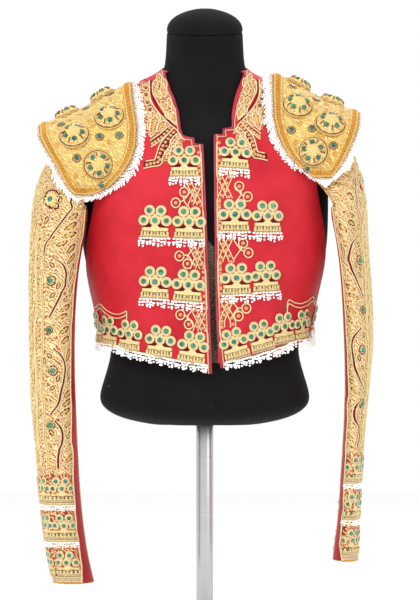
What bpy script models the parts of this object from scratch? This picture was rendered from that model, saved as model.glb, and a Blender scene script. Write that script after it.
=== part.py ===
"""Matador jacket worn by a limbless dress form on a pole and a round base.

Lengths are in millimetres here and are turned into metres when a mesh is made.
The wearer faces -Y, so the wearer's left is +X and the right is -X.
"""
import math

import bmesh
import bpy
from mathutils import Vector
from mathutils.bvhtree import BVHTree

MM = 0.001
CLOTH = 2.0
SEAM = 0.16
LIE = 0.5
HEM_LIE = 1.0
EDGE_WIDE = 3.4
BASE_RADIUS = 150.0
BASE_HEIGHT = 10.0
POLE_RADIUS = 11.7
FORM_BOTTOM = 302.4
NECK_TOP = 838.0
NECK_SLOPE = 0.164
CAP_RISE = 32.7
FLAT_ROW = 470.0
NECK_SEAM = 776.5
SHOULDER_ROW = 722.0
RIGHT = -1
LEFT = 1
SIDE_NAMES = {RIGHT: "right", LEFT: "left"}

# Level sections of the dress form: height, half width, half depth, centre y, squareness
FORM = (
    (302.4, 71.0, 54.0, 4.0, 2.0),
    (308.0, 103.0, 78.0, 4.0, 2.05),
    (316.0, 126.0, 95.0, 4.0, 2.1),
    (326.0, 140.0, 105.0, 4.0, 2.15),
    (338.0, 146.0, 109.0, 4.0, 2.2),
    (358.0, 141.0, 105.0, 3.0, 2.2),
    (381.0, 131.0, 98.0, 2.0, 2.2),
    (402.0, 126.0, 94.0, 1.0, 2.2),
    (432.0, 132.0, 95.0, 0.0, 2.2),
    (467.0, 144.5, 100.0, 0.0, 2.25),
    (500.0, 156.0, 107.0, 0.0, 2.3),
    (532.0, 166.5, 112.0, 0.0, 2.3),
    (566.0, 169.5, 114.0, 0.0, 2.3),
    (600.0, 170.0, 113.0, 1.0, 2.3),
    (640.0, 170.0, 107.0, 3.0, 2.3),
    (680.0, 169.5, 98.0, 7.0, 2.25),
    (700.0, 168.5, 89.0, 10.0, 2.2),
    (712.0, 164.0, 82.0, 12.0, 2.15),
    (722.0, 155.0, 77.0, 13.0, 2.1),
    (740.0, 130.0, 70.0, 14.0, 2.1),
    (755.0, 108.0, 65.0, 12.0, 2.05),
    (768.0, 85.0, 61.0, 10.0, 2.0),
    (778.0, 63.0, 58.0, 7.0, 2.0),
    (788.0, 54.0, 56.0, 4.0, 2.0),
    (800.0, 52.7, 55.0, 2.0, 2.0),
    (838.0, 52.7, 55.0, -4.0, 2.0),
    (880.0, 52.7, 55.0, -4.0, 2.0),
)

# Level sections of the jacket's outer face, in the same columns
JACKET = (
    (360.0, 137.0, 112.0, -5.0, 2.2),
    (400.0, 141.5, 112.0, -4.0, 2.2),
    (432.0, 146.5, 113.0, -3.0, 2.25),
    (467.0, 152.0, 114.5, -2.0, 2.3),
    (500.0, 161.0, 116.5, -1.0, 2.3),
    (532.0, 171.0, 118.5, 0.0, 2.3),
    (566.0, 174.0, 119.5, 0.0, 2.3),
    (600.0, 174.5, 118.5, 1.0, 2.3),
    (640.0, 174.5, 112.5, 3.0, 2.3),
    (680.0, 174.5, 103.5, 7.0, 2.25),
    (700.0, 174.0, 94.5, 10.0, 2.2),
    (712.0, 170.5, 88.0, 12.0, 2.15),
    (722.0, 164.0, 83.0, 13.0, 2.1),
    (740.0, 140.0, 76.5, 14.0, 2.1),
    (755.0, 119.0, 71.5, 12.0, 2.05),
    (768.0, 98.0, 67.5, 10.0, 2.0),
    (778.0, 76.0, 64.0, 7.0, 2.0),
    (788.0, 60.0, 61.0, 4.0, 2.0),
    (800.0, 57.3, 59.5, 2.0, 2.0),
    (812.0, 57.3, 59.5, 0.0, 2.0),
)

# Front edge, neck step and collar seam of each front: height, x
FRONT_EDGE = {
    RIGHT: ((372.0, 8.9), (607.5, 0.4), (680.0, -3.4), (683.5, -13.5), (690.0, -15.0), (693.0, -29.0),
            (701.0, -37.0), (711.5, -49.0), (726.0, -62.5), (748.0, -71.0), (762.0, -73.5), (776.0, -74.0)),
    LEFT: ((372.0, 18.0), (607.5, 14.2), (693.5, 13.6), (696.5, 26.0), (703.0, 26.5), (706.0, 37.5),
           (714.5, 38.5), (724.0, 49.5), (737.0, 62.0), (752.0, 70.0), (764.0, 73.0), (776.0, 74.0)),
}

# Armhole edge of each front, then of the back: height, angle from the middle of the front
ARMHOLE_FRONT = {
    RIGHT: ((470.0, 88.0), (489.0, 80.0), (510.0, 74.0), (532.0, 66.0), (553.0, 63.0), (586.0, 57.0),
            (620.0, 53.0), (660.0, 54.0), (690.0, 61.0), (710.0, 74.0), (722.0, 89.9)),
    LEFT: ((470.0, 88.0), (489.0, 80.0), (510.0, 75.0), (532.0, 70.0), (553.0, 67.0), (586.0, 62.0),
           (620.0, 56.0), (660.0, 55.0), (690.0, 61.0), (710.0, 74.0), (722.0, 89.9)),
}
ARMHOLE_BACK = ((470.0, 92.0), (489.0, 101.0), (510.0, 107.0), (532.0, 112.0), (553.0, 115.0),
                (586.0, 119.0), (620.0, 122.0), (660.0, 121.0), (690.0, 115.0), (710.0, 104.0), (722.0, 90.1))

# Hem of each half: angle from the middle of the front, height
HEM = {
    RIGHT: ((0.0, 382.5), (6.0, 384.5), (24.0, 395.0), (44.0, 402.0), (64.0, 409.0), (78.0, 419.0),
            (90.0, 427.0), (110.0, 428.0), (150.0, 420.0), (180.0, 416.0)),
    LEFT: ((0.0, 386.0), (8.0, 388.0), (16.0, 390.0), (32.0, 398.0), (46.0, 406.0), (66.0, 415.0), (78.0, 428.0),
           (90.0, 436.0), (110.0, 434.0), (150.0, 422.0), (180.0, 416.0)),
}

# Neck edge of the collar beside the seam of each front: seam height, x; then seam height, rise
NECK_EDGE = {
    RIGHT: ((701.0, -33.2), (711.5, -35.5), (726.0, -41.0), (748.0, -49.0), (762.0, -53.0), (771.5, -54.0)),
    LEFT: ((714.5, 36.0), (724.0, 38.0), (737.0, 42.5), (752.0, 49.0), (764.0, 52.5), (771.5, 54.0)),
}
NECK_RISE = {
    RIGHT: ((701.0, 2.5), (711.5, 12.0), (726.0, 19.0), (748.0, 18.0), (762.0, 15.0), (771.5, 12.0)),
    LEFT: ((714.5, 2.5), (724.0, 12.0), (737.0, 16.0), (752.0, 15.5), (764.0, 14.0), (771.5, 12.0)),
}
COLLAR_GAP = 0.9

# Sleeve sections: height, centre x (away from the body), centre y, half width, half depth, turn in degrees
SLEEVE = {
    RIGHT: ((90.5, 177.5, -42.0, 27.0, 37.0, 6.0), (122.0, 185.0, -44.0, 26.5, 37.5, 7.0),
            (156.0, 190.5, -46.0, 26.5, 38.0, 8.0), (219.0, 197.0, -51.0, 26.0, 40.0, 10.0),
            (283.0, 202.0, -56.0, 28.5, 42.0, 12.0), (337.0, 205.0, -60.0, 28.0, 44.0, 14.0),
            (402.0, 207.0, -61.0, 28.0, 46.0, 15.0), (456.0, 206.5, -59.0, 28.5, 48.0, 16.0),
            (510.0, 205.0, -56.0, 30.0, 51.0, 18.0), (553.0, 200.0, -53.0, 33.0, 53.0, 20.0),
            (585.0, 197.0, -50.0, 35.0, 54.0, 20.0)),
    LEFT: ((118.0, 192.0, 2.0, 16.5, 42.0, 2.0), (146.0, 194.0, -3.0, 15.0, 42.5, 2.0),
           (176.0, 196.5, -9.0, 13.5, 43.0, 2.0), (219.0, 198.5, -17.0, 13.0, 43.5, 3.0),
           (273.0, 202.0, -27.0, 13.0, 45.0, 4.0), (337.0, 206.0, -37.0, 14.0, 47.0, 4.0),
           (402.0, 209.5, -44.0, 17.5, 49.0, 8.0), (456.0, 208.0, -48.0, 18.0, 51.0, 10.0),
           (510.0, 204.5, -50.0, 17.5, 53.0, 10.0), (553.0, 200.0, -51.0, 18.0, 54.0, 12.0),
           (585.0, 196.0, -50.0, 21.0, 54.0, 14.0)),
}
SLEEVE_STEPS = 16
SLEEVE_STRIP_TURN = 157.5
SLEEVE_STRIP_HALF = 19.0
SLEEVE_FRONT_SEAM = 7
SLEEVE_BACK_SEAM = 15

# Sleeve head: angle round the sleeve, height of the armhole point it is sewn to
HEAD_TOP = ((0.0, 722.5), (22.5, 716.0), (45.0, 696.0), (67.5, 665.0), (90.0, 632.0))

# Epaulet: angle round the shoulder, inner x, outer x
EPAULET = {
    RIGHT: ((0.0, 100.0, 222.0), (30.0, 98.0, 223.0), (58.0, 92.0, 221.0), (74.0, 93.0, 212.0),
            (86.0, 99.0, 202.0), (97.0, 112.0, 193.0), (106.0, 130.0, 185.0), (112.0, 148.0, 176.0)),
    LEFT: ((0.0, 93.0, 208.0), (30.0, 93.0, 208.0), (55.0, 94.0, 206.0), (70.0, 99.0, 201.0),
           (80.0, 106.0, 195.0), (90.0, 117.0, 188.0), (98.0, 132.0, 180.0), (105.0, 146.0, 171.0)),
}
EPAULET_TOP = ((90.0, 775.0), (103.0, 771.0), (150.0, 742.0), (200.0, 711.0), (224.0, 695.0))
EPAULET_SIDE = ((90.0, 92.0), (130.0, 96.0), (160.0, 96.0), (200.0, 86.0), (224.0, 70.0))
EPAULET_CENTRE = {RIGHT: 650.0, LEFT: 662.0}
EPAULET_THICK = 4.0
REST_GAP = 0.45
# Embroidered domes of an epaulet: share across, share from the top to the tip, radius
DOMES = {
    RIGHT: ((0.30, 0.0, 18.0), (0.70, 0.0, 18.0), (0.26, 0.42, 19.0), (0.65, 0.55, 19.0), (0.42, 0.79, 18.5)),
    LEFT: ((0.28, 0.0, 18.0), (0.68, 0.0, 18.0), (0.27, 0.42, 19.0), (0.67, 0.56, 19.0), (0.44, 0.81, 18.5)),
}
DOME_RISE = 11.0

# Tassel clusters of each front: name, x, height of the middle disc
CLUSTERS = {
    RIGHT: (("neck", -27.4, 658.8), ("upper_outer", -67.9, 579.0), ("upper_inner", -21.0, 577.0),
            ("lower_outer", -66.8, 497.0), ("lower_inner", -21.5, 493.0)),
    LEFT: (("neck", 41.2, 669.9), ("upper_outer", 84.5, 585.0), ("upper_inner", 40.1, 586.6),
           ("lower_outer", 82.5, 505.0), ("lower_inner", 41.9, 502.0)),
}
BACK_CLUSTERS = (("back_upper", 590.0), ("back_lower", 512.0))
BACK_CLUSTER_ANGLES = (-27.0, 0.0, 27.0)
# Outline of a cluster: height over the middle disc, half width, thickness in the middle
CLUSTER_ROWS = ((20.5, 12.0, 1.8), (13.0, 15.0, 3.4), (0.0, 20.2, 3.4), (-9.0, 18.5, 2.0), (-24.0, 18.5, 2.6),
                (-34.0, 19.0, 1.8))


def ease_table(table, key):
    """Values of a table row at key, smoothly joined between its rows."""
    if key <= table[0][0]:
        return table[0][1:]
    if key >= table[-1][0]:
        return table[-1][1:]
    index = max(i for i in range(len(table) - 1) if table[i][0] <= key)
    low, high = table[index], table[index + 1]
    before = table[max(index - 1, 0)]
    after = table[min(index + 2, len(table) - 1)]
    span = high[0] - low[0]
    t = (key - low[0]) / span
    values = []
    for column in range(1, len(low)):
        step = (high[column] - low[column]) / span
        step_in = (low[column] - before[column]) / max(low[0] - before[0], 1e-6) if index > 0 else step
        step_out = (after[column] - high[column]) / max(after[0] - high[0], 1e-6) if index < len(table) - 2 else step
        slope_low = 0.0 if step_in * step <= 0 else 2.0 * step_in * step / (step_in + step)
        slope_high = 0.0 if step_out * step <= 0 else 2.0 * step_out * step / (step_out + step)
        if index == 0:
            slope_low = step
        if index == len(table) - 2:
            slope_high = step
        h00 = 2 * t ** 3 - 3 * t ** 2 + 1
        h10 = t ** 3 - 2 * t ** 2 + t
        h01 = -2 * t ** 3 + 3 * t ** 2
        h11 = t ** 3 - t ** 2
        values.append(h00 * low[column] + h10 * span * slope_low + h01 * high[column] + h11 * span * slope_high)
    return tuple(values)


def line_table(table, key):
    """Second value of a table at key, joined by straight lines."""
    if key <= table[0][0]:
        return table[0][1]
    for low, high in zip(table, table[1:]):
        if key <= high[0]:
            share = (key - low[0]) / (high[0] - low[0])
            return low[1] + share * (high[1] - low[1])
    return table[-1][1]


def ring_point(body, angle, height):
    """Point of a level section; the angle runs from the middle of the front towards +X."""
    half_width, half_depth, centre_y, square = ease_table(body, height)
    s, c = math.sin(angle), math.cos(angle)
    reach = (abs(s) ** square + abs(c) ** square) ** (-1.0 / square)
    return Vector((half_width * reach * s, centre_y - half_depth * reach * c, height))


def body_normal(body, angle, height):
    """Direction straight out of the body at a point."""
    step = 0.02
    across = ring_point(body, angle + step, height) - ring_point(body, angle - step, height)
    up = ring_point(body, angle, height + 1.0) - ring_point(body, angle, height - 1.0)
    return across.cross(up).normalized()


def on_body(body, angle, height, lift=0.0):
    """Point of the body moved straight out by lift."""
    return ring_point(body, angle, height) + body_normal(body, angle, height) * lift


def angle_at(body, x, height):
    """Angle on the front at which the section reaches x."""
    low, high = -math.pi / 2, math.pi / 2
    for _ in range(40):
        middle = (low + high) / 2
        if ring_point(body, middle, height).x < x:
            low = middle
        else:
            high = middle
    return (low + high) / 2


def arc_rate(body, angle, height):
    """Millimetres along the section for each radian."""
    step = 0.01
    across = ring_point(body, angle + step, height) - ring_point(body, angle - step, height)
    return across.length / (2 * step)


def cloth_material(name, colour, roughness=0.6, metallic=0.0):
    """Principled material of one sub-part."""
    material = bpy.data.materials.new(name)
    material.use_nodes = True
    shader = material.node_tree.nodes["Principled BSDF"]
    shader.inputs["Base Color"].default_value = (*colour, 1.0)
    shader.inputs["Roughness"].default_value = roughness
    shader.inputs["Metallic"].default_value = metallic
    return material


def add_object(name, mesh, collection, colour, roughness=0.6, metallic=0.0):
    """Put a finished mesh in the collection with its own material."""
    mesh.materials.append(cloth_material(name + "_finish", colour, roughness, metallic))
    for polygon in mesh.polygons:
        polygon.use_smooth = True
    thing = bpy.data.objects.new(name, mesh)
    collection.objects.link(thing)
    return thing


def shell_solid(name, outer, inner, collection, colour, closed=False, **finish):
    """Closed wall between two grids of points; closed joins the last column to the first."""
    rows, columns = len(outer), len(outer[0])
    edit = bmesh.new()
    out = [[edit.verts.new(point * MM) for point in row] for row in outer]
    back = [[edit.verts.new(point * MM) for point in row] for row in inner]
    last = columns if closed else columns - 1
    for i in range(rows - 1):
        for j in range(last):
            k = (j + 1) % columns
            edit.faces.new((out[i][j], out[i][k], out[i + 1][k], out[i + 1][j]))
            edit.faces.new((back[i][j], back[i + 1][j], back[i + 1][k], back[i][k]))
    for j in range(last):
        k = (j + 1) % columns
        edit.faces.new((out[0][j], back[0][j], back[0][k], out[0][k]))
        edit.faces.new((out[-1][j], out[-1][k], back[-1][k], back[-1][j]))
    if not closed:
        for i in range(rows - 1):
            edit.faces.new((out[i][0], out[i + 1][0], back[i + 1][0], back[i][0]))
            edit.faces.new((out[i][-1], back[i][-1], back[i + 1][-1], out[i + 1][-1]))
    bmesh.ops.recalc_face_normals(edit, faces=edit.faces)
    mesh = bpy.data.meshes.new(name)
    edit.to_mesh(mesh)
    edit.free()
    return add_object(name, mesh, collection, colour, **finish)


def ring_solid(name, rings, collection, colour, **finish):
    """Closed body through rings of points with a flat cap at each end."""
    edit = bmesh.new()
    loops = [[edit.verts.new(point * MM) for point in ring] for ring in rings]
    for low, high in zip(loops, loops[1:]):
        for j in range(len(low)):
            k = (j + 1) % len(low)
            edit.faces.new((low[j], low[k], high[k], high[j]))
    edit.faces.new(loops[0])
    edit.faces.new(loops[-1])
    bmesh.ops.recalc_face_normals(edit, faces=edit.faces)
    mesh = bpy.data.meshes.new(name)
    edit.to_mesh(mesh)
    edit.free()
    return add_object(name, mesh, collection, colour, **finish)


def grid_normals(grid, closed=False):
    """Outward direction at each point of a grid whose rows rise and whose columns run around."""
    rows, columns = len(grid), len(grid[0])
    normals = []
    for i in range(rows):
        line = []
        for j in range(columns):
            if closed:
                across = grid[i][(j + 1) % columns] - grid[i][(j - 1) % columns]
            else:
                across = grid[i][min(j + 1, columns - 1)] - grid[i][max(j - 1, 0)]
            up = grid[min(i + 1, rows - 1)][j] - grid[max(i - 1, 0)][j]
            line.append(across.cross(up).normalized())
        normals.append(line)
    return normals


def build_stand(collection):
    """Form, neck cap, pole and base."""
    steps = 24
    heights = [302.4, 308, 316, 326, 338, 358, 402, 432, 467, 500, 532, 566, 606, 650, 684, 706, 722,
               740, 755, 768, 778, 788]
    turns = [2 * math.pi * j / steps for j in range(steps)]
    rings = [[ring_point(FORM, turn, height) for turn in turns] for height in heights]

    def seam_ring(scale, rise, lean):
        ring = []
        for turn in turns:
            point = ring_point(FORM, turn, NECK_TOP)
            x, y = point.x * scale, -4.0 + (point.y + 4.0) * scale
            ring.append(Vector((x, y + lean, NECK_TOP + NECK_SLOPE * (y + 4.0) + rise)))
        return ring

    rings.append(seam_ring(1.0, -1.6, 0.0))
    rings.append(seam_ring(0.975, 0.0, 0.0))
    ring_solid("dress_form", rings, collection, (0.012, 0.011, 0.012), roughness=0.9)
    cap = [seam_ring(0.975, 0.3, 0.0), seam_ring(1.0, 1.9, 0.0), seam_ring(0.985, 9.0, 0.0),
           seam_ring(0.90, 16.5, 0.3), seam_ring(0.74, 23.0, 0.6), seam_ring(0.50, 28.6, 0.8),
           seam_ring(0.22, CAP_RISE - 0.9, 0.9)]
    ring_solid("neck_cap", cap, collection, (0.012, 0.011, 0.012), roughness=0.85)

    bpy.ops.mesh.primitive_cylinder_add(
        vertices=24, radius=POLE_RADIUS * MM, depth=(FORM_BOTTOM - BASE_HEIGHT - 0.6) * MM,
        location=(0.0, 0.0, (FORM_BOTTOM + BASE_HEIGHT) / 2 * MM))
    take_primitive("pole", collection, (0.55, 0.55, 0.56), 0.3, 1.0)

    bpy.ops.mesh.primitive_cylinder_add(vertices=40, radius=BASE_RADIUS * MM, depth=BASE_HEIGHT * MM,
                                        location=(0.0, 0.0, BASE_HEIGHT / 2 * MM))
    base = take_primitive("base", collection, (0.5, 0.5, 0.51), 0.35, 1.0)
    bevel = base.modifiers.new("rounded rim", "BEVEL")
    bevel.width = 2.5 * MM
    bevel.segments = 1
    bevel.limit_method = "ANGLE"


def take_primitive(name, collection, colour, roughness, metallic):
    """Name the primitive just added, give it its finish and move it to the collection."""
    thing = bpy.context.object
    thing.name = name
    thing.data.name = name
    thing.data.transform(thing.matrix_world)
    thing.matrix_world.identity()
    for old in list(thing.users_collection):
        old.objects.unlink(thing)
    collection.objects.link(thing)
    thing.data.materials.append(cloth_material(name + "_finish", colour, roughness, metallic))
    for polygon in thing.data.polygons:
        polygon.use_smooth = len(polygon.vertices) == 4
    return thing


def front_rows(side):
    """Grid of angle and height over one front, from the hem to the shoulder."""
    edge = FRONT_EDGE[side]
    columns = 9
    grid = []
    for share in (0.0, 0.3, 0.65):
        row = []
        low = HEM[side][0][1]
        inner = angle_at(JACKET, line_table(edge, low + share * (FLAT_ROW - low)), low + share * (FLAT_ROW - low))
        outer = side * (math.pi / 2 - SEAM / 152.0)
        for j in range(columns):
            u = j / (columns - 1)
            angle = inner + (outer - inner) * u
            foot = line_table(HEM[side], abs(math.degrees(angle)))
            row.append((angle, foot + share * (FLAT_ROW - foot)))
        grid.append(row)
    steps = [row[0] for row in edge if row[0] > 640.0 and row[0] < 770.0]
    heights = sorted(set([FLAT_ROW, 489.0, 510.0, 532.0, 556.0, 582.0, 610.0, 640.0, 662.0, SHOULDER_ROW, 769.0]
                         + steps))
    heights = [height for height in heights if height == SHOULDER_ROW or abs(height - SHOULDER_ROW) > 4.5]
    for height in heights:
        inner = angle_at(JACKET, line_table(edge, height), height)
        if height < SHOULDER_ROW:
            outer = side * math.radians(line_table(ARMHOLE_FRONT[side], height))
        else:
            outer = side * math.pi / 2
        outer -= side * SEAM / arc_rate(JACKET, outer, height)
        grid.append([(inner + (outer - inner) * j / (columns - 1), height) for j in range(columns)])
    inner = angle_at(JACKET, line_table(edge, 771.5), 771.5)
    outer = side * (math.pi / 2 - SEAM / 76.0)
    grid.append([(inner + (outer - inner) * j / (columns - 1), 771.5 + (NECK_SEAM - 771.5) * (j / (columns - 1)) ** 2)
                 for j in range(columns)])
    return grid


def back_rows():
    """Grid of angle and height over the back, from the hem to the neck."""
    columns = 17
    grid = []
    for share in (0.0, 0.3, 0.65):
        row = []
        first = math.pi / 2 + SEAM / 152.0
        last = 3 * math.pi / 2 - SEAM / 152.0
        for j in range(columns):
            angle = first + (last - first) * j / (columns - 1)
            side = LEFT if angle < math.pi else RIGHT
            turn = math.degrees(angle) if side == LEFT else 360.0 - math.degrees(angle)
            foot = line_table(HEM[side], turn)
            row.append((angle, foot + share * (FLAT_ROW - foot)))
        grid.append(row)
    for height in (FLAT_ROW, 489.0, 510.0, 532.0, 556.0, 582.0, 610.0, 640.0, 662.0, 690.0, 708.0, SHOULDER_ROW):
        turn = math.radians(line_table(ARMHOLE_BACK, height)) if height < SHOULDER_ROW else math.pi / 2
        turn += SEAM / arc_rate(JACKET, turn, height)
        first, last = turn, 2 * math.pi - turn
        grid.append([(first + (last - first) * j / (columns - 1), height) for j in range(columns)])
    for share in (0.33, 0.67, 0.855, 1.0):
        row = []
        for j in range(columns):
            height = SHOULDER_ROW + share * (NECK_SEAM - SHOULDER_ROW)
            first = math.pi / 2 + SEAM / arc_rate(JACKET, math.pi / 2, height)
            last = 2 * math.pi - first
            angle = first + (last - first) * j / (columns - 1)
            dip = 1.5 * math.sin((angle - math.pi / 2)) * share
            row.append((angle, height - dip))
        grid.append(row)
    return grid


def body_wall(name, grid, collection, colour, lift=0.0, thick=CLOTH, **finish):
    """Wall on the jacket's form through a grid of angle and height."""
    outer = [[on_body(JACKET, angle, height, lift) for angle, height in row] for row in grid]
    inner = [[on_body(JACKET, angle, height, lift - thick) for angle, height in row] for row in grid]
    return shell_solid(name, outer, inner, collection, colour, **finish)


RED = (0.60, 0.03, 0.045)
GOLD = (0.75, 0.50, 0.16)
WHITE = (0.80, 0.78, 0.74)


def build_panels(collection):
    """Both fronts, and the back in two halves with a seam down its middle."""
    for side in (RIGHT, LEFT):
        body_wall("front_" + SIDE_NAMES[side], front_rows(side), collection, RED, roughness=0.4)
    grid = back_rows()
    middle = len(grid[0]) // 2
    for side, first, last in ((LEFT, 0, middle), (RIGHT, middle, 2 * middle)):
        half = [row[first:last + 1] for row in grid]
        for row in half:
            at = -1 if side == LEFT else 0
            angle, height = row[at]
            row[at] = (angle - side * SEAM / arc_rate(JACKET, angle, height), height)
        body_wall("back_" + SIDE_NAMES[side], half, collection, RED, roughness=0.4)


def build_collar(collection):
    """Low band round the neck, its lower edge just above the seam points of the fronts and the back."""
    stations = []
    for side in (RIGHT, LEFT):
        rows = front_rows(side)
        first = 700.0 if side == RIGHT else 713.0
        part = []
        for row in rows[:-1]:
            angle, height = row[0]
            if height > first:
                neck_x = line_table(NECK_EDGE[side], height)
                rise = line_table(NECK_RISE[side], height)
                part.append((angle, height, angle_at(JACKET, neck_x, height + rise), height + rise))
        top = rows[-1]
        for j in (0, 2, 4, 6, 8):
            angle, height = top[j]
            share = j / 8.0
            neck = angle_at(JACKET, line_table(NECK_EDGE[side], 771.5), 781.0)
            neck += (side * math.pi / 2 - neck) * share
            part.append((angle, height, neck, 783.5 + 5.0 * share))
        stations.append(part)
    back = []
    for angle, height in back_rows()[-1][::2]:
        rise = 12.0 + 14.0 * math.sin(angle - math.pi / 2)
        back.append((angle, height, angle, height + rise))
    full = [(a, b, c, d) for a, b, c, d in stations[1]] + back[1:-1]
    full += [(a + 2 * math.pi, b, c + 2 * math.pi, d) for a, b, c, d in reversed(stations[0])]
    grid = []
    for share in (0.0, 0.33, 0.67, 1.0):
        row = []
        for seam_angle, z_seam, neck_angle, z_neck in full:
            start = share
            reach = max(abs(z_neck - z_seam), 2.0)
            share_now = (COLLAR_GAP / (reach + 8.0)) + start * (1.0 - COLLAR_GAP / (reach + 8.0))
            row.append((seam_angle + share_now * (neck_angle - seam_angle), z_seam + share_now * (z_neck - z_seam)))
        grid.append(row)
    body_wall("collar", grid, collection, RED, lift=0.0, thick=2.0, roughness=0.4)


def sleeve_ring(side, height, steps=SLEEVE_STEPS, lift=0.0):
    """Level section of a sleeve; the turn runs from outside to the front."""
    ring = []
    for j in range(steps):
        phi = 2 * math.pi * j / steps
        ring.append(sleeve_point(side, height, phi, lift))
    return ring


def sleeve_point(side, height, phi, lift=0.0):
    """Point of a sleeve at an angle round it; 0 is outside, a quarter turn on is the front."""
    centre_x, centre_y, half_width, half_depth, turn = ease_table(SLEEVE[side], height)
    rotate = math.radians(turn)
    out = (half_width + lift) * math.cos(phi)
    ahead = (half_depth + lift) * math.sin(phi)
    x = side * (centre_x + out * math.cos(rotate) - ahead * math.sin(rotate))
    y = centre_y - ahead * math.cos(rotate) - out * math.sin(rotate)
    return Vector((x, y, height))


def sleeve_heights(side):
    """Heights of the sleeve's level rows."""
    low = SLEEVE[side][0][0]
    return [low, low + 30.0, low + 66.0, low + 102.0, low + 148.0, 312.0, 366.0, 420.0, 474.0, 520.0, 556.0, 585.0]


def on_sleeve(side, height, phi, lift):
    """Point on the flat faces of a sleeve, moved out."""
    heights = sleeve_heights(side)
    index = max(i for i in range(len(heights) - 1) if heights[i] <= height)
    share = (height - heights[index]) / (heights[index + 1] - heights[index])
    step = 2 * math.pi / SLEEVE_STEPS
    first = math.floor(phi / step + 1e-6)
    part = phi / step - first
    ends = []
    for level in (heights[index], heights[index + 1]):
        low = sleeve_point(side, level, first * step)
        high = sleeve_point(side, level, (first + 1) * step)
        ends.append(low.lerp(high, part))
    spot = ends[0].lerp(ends[1], share)
    centre_x, centre_y, half_width, half_depth, turn = ease_table(SLEEVE[side], height)
    rotate = math.radians(turn)
    out, ahead = half_depth * math.cos(phi), half_width * math.sin(phi)
    way = Vector((side * (out * math.cos(rotate) - ahead * math.sin(rotate)),
                  -ahead * math.cos(rotate) - out * math.sin(rotate), 0.0)).normalized()
    return spot + way * lift


def sleeve_grid(side):
    """Points of a whole sleeve, from the cuff up to the armhole seam."""
    heights = sleeve_heights(side)
    grid = [sleeve_ring(side, height) for height in heights]
    foot = grid[-1]
    tops = []
    starts = []
    ends = []
    for j in range(SLEEVE_STEPS):
        phi = 360.0 * j / SLEEVE_STEPS
        front = phi <= 180.0
        turn = phi if front else 360.0 - phi
        start = foot[j]
        if turn <= HEAD_TOP[-1][0] + 0.1:
            height = line_table(HEAD_TOP, turn)
            if front:
                angle = math.radians(line_table(ARMHOLE_FRONT[side], height))
            else:
                angle = math.radians(line_table(ARMHOLE_BACK, height))
            if turn < 1.0:
                angle = math.pi / 2
                top = on_body(JACKET, side * angle, 722.5, 0.0) + Vector((side * 3.2, 0.0, -0.6))
            else:
                shift = 1.3 / arc_rate(JACKET, angle, height)
                angle += shift if front else -shift
                top = on_body(JACKET, side * angle, height, 0.8)
            inward = Vector((-side * 0.82, 0.0, 0.57))
            reach = (top - start).length
            if turn < 50.0:
                end = inward * reach * 0.9
            else:
                end = Vector((-side * 0.75, 0.30 if front else -0.30, 0.55)).normalized() * reach * 0.8
            rise = Vector((side * 0.02, 0.0, 1.0)) * reach * 0.88
        else:
            lift = 20.0 if turn < 115.0 else 15.0
            top = start + Vector((-side * 3.0 if turn < 115.0 else 0.0, 0.0, lift))
            rise = Vector((0.0, 0.0, lift))
            end = Vector((0.0, 0.0, lift))
        tops.append(top)
        starts.append(rise)
        ends.append(end)
    for share in (0.2, 0.4, 0.6, 0.8, 1.0):
        t = share
        h00 = 2 * t ** 3 - 3 * t ** 2 + 1
        h10 = t ** 3 - 2 * t ** 2 + t
        h01 = -2 * t ** 3 + 3 * t ** 2
        h11 = t ** 3 - t ** 2
        grid.append([foot[j] * h00 + starts[j] * h10 + tops[j] * h01 + ends[j] * h11 for j in range(SLEEVE_STEPS)])
    return grid


def cut_columns(grid, first, last):
    """Columns of a closed grid from one seam to the next, drawn in by half the seam's gap at both ends."""
    piece = []
    for row in grid:
        line = [row[j % len(row)] for j in range(first, last + 1)]
        start = line[0] + (line[1] - line[0]).normalized() * SEAM
        end = line[-1] + (line[-2] - line[-1]).normalized() * SEAM
        piece.append([start] + line[1:-1] + [end])
    return piece


def build_sleeves(collection):
    """Sleeves in a front and a back cut piece, with their satin strip and cuff rows."""
    for side in (RIGHT, LEFT):
        grid = sleeve_grid(side)
        normals = grid_normals(grid, closed=True)
        flip = 1.0 if normals[4][0].x * side > 0 else -1.0
        inner = [[point - normal * flip * CLOTH for point, normal in zip(row, line)]
                 for row, line in zip(grid, normals)]
        for word, first, last in (("front", SLEEVE_BACK_SEAM - SLEEVE_STEPS, SLEEVE_FRONT_SEAM),
                                  ("back", SLEEVE_FRONT_SEAM, SLEEVE_BACK_SEAM)):
            shell_solid("sleeve_%s_%s" % (word, SIDE_NAMES[side]), cut_columns(grid, first, last),
                        cut_columns(inner, first, last), collection, GOLD, roughness=0.5)
        low = SLEEVE[side][0][0]
        step = 2 * math.pi / SLEEVE_STEPS
        middle = math.radians(SLEEVE_STRIP_TURN)
        half = math.radians(SLEEVE_STRIP_HALF)
        strip = []
        for height in sleeve_heights(side)[:-1] + [584.0]:
            strip.append([(middle + share * half, height) for share in (-1.0, 0.0, 1.0)])
        outer = [[on_sleeve(side, height, phi, 1.9) for phi, height in row] for row in strip]
        under = [[on_sleeve(side, height, phi, 0.6) for phi, height in row] for row in strip]
        shell_solid("sleeve_strip_" + SIDE_NAMES[side], outer, under, collection, RED, roughness=0.35)
        for number, foot in enumerate((low + 3.0, low + 51.0, low + 99.0)):
            turns = [middle + half * 1.12] + [middle + step * k for k in range(2, SLEEVE_STEPS - 1)]
            turns.append(middle + 2 * math.pi - half * 1.12)
            levels = [(foot, 1.8), (foot + 31.0, 3.2), (foot + 43.0, 1.8)]
            outer = [[on_sleeve(side, height, phi, 0.8 + thick) for phi in turns] for height, thick in levels]
            under = [[on_sleeve(side, height, phi, 0.8) for phi in turns] for height, thick in levels]
            shell_solid("cuff_row_%d_%s" % (number + 1, SIDE_NAMES[side]), outer, under, collection, GOLD,
                        roughness=0.45)


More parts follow.
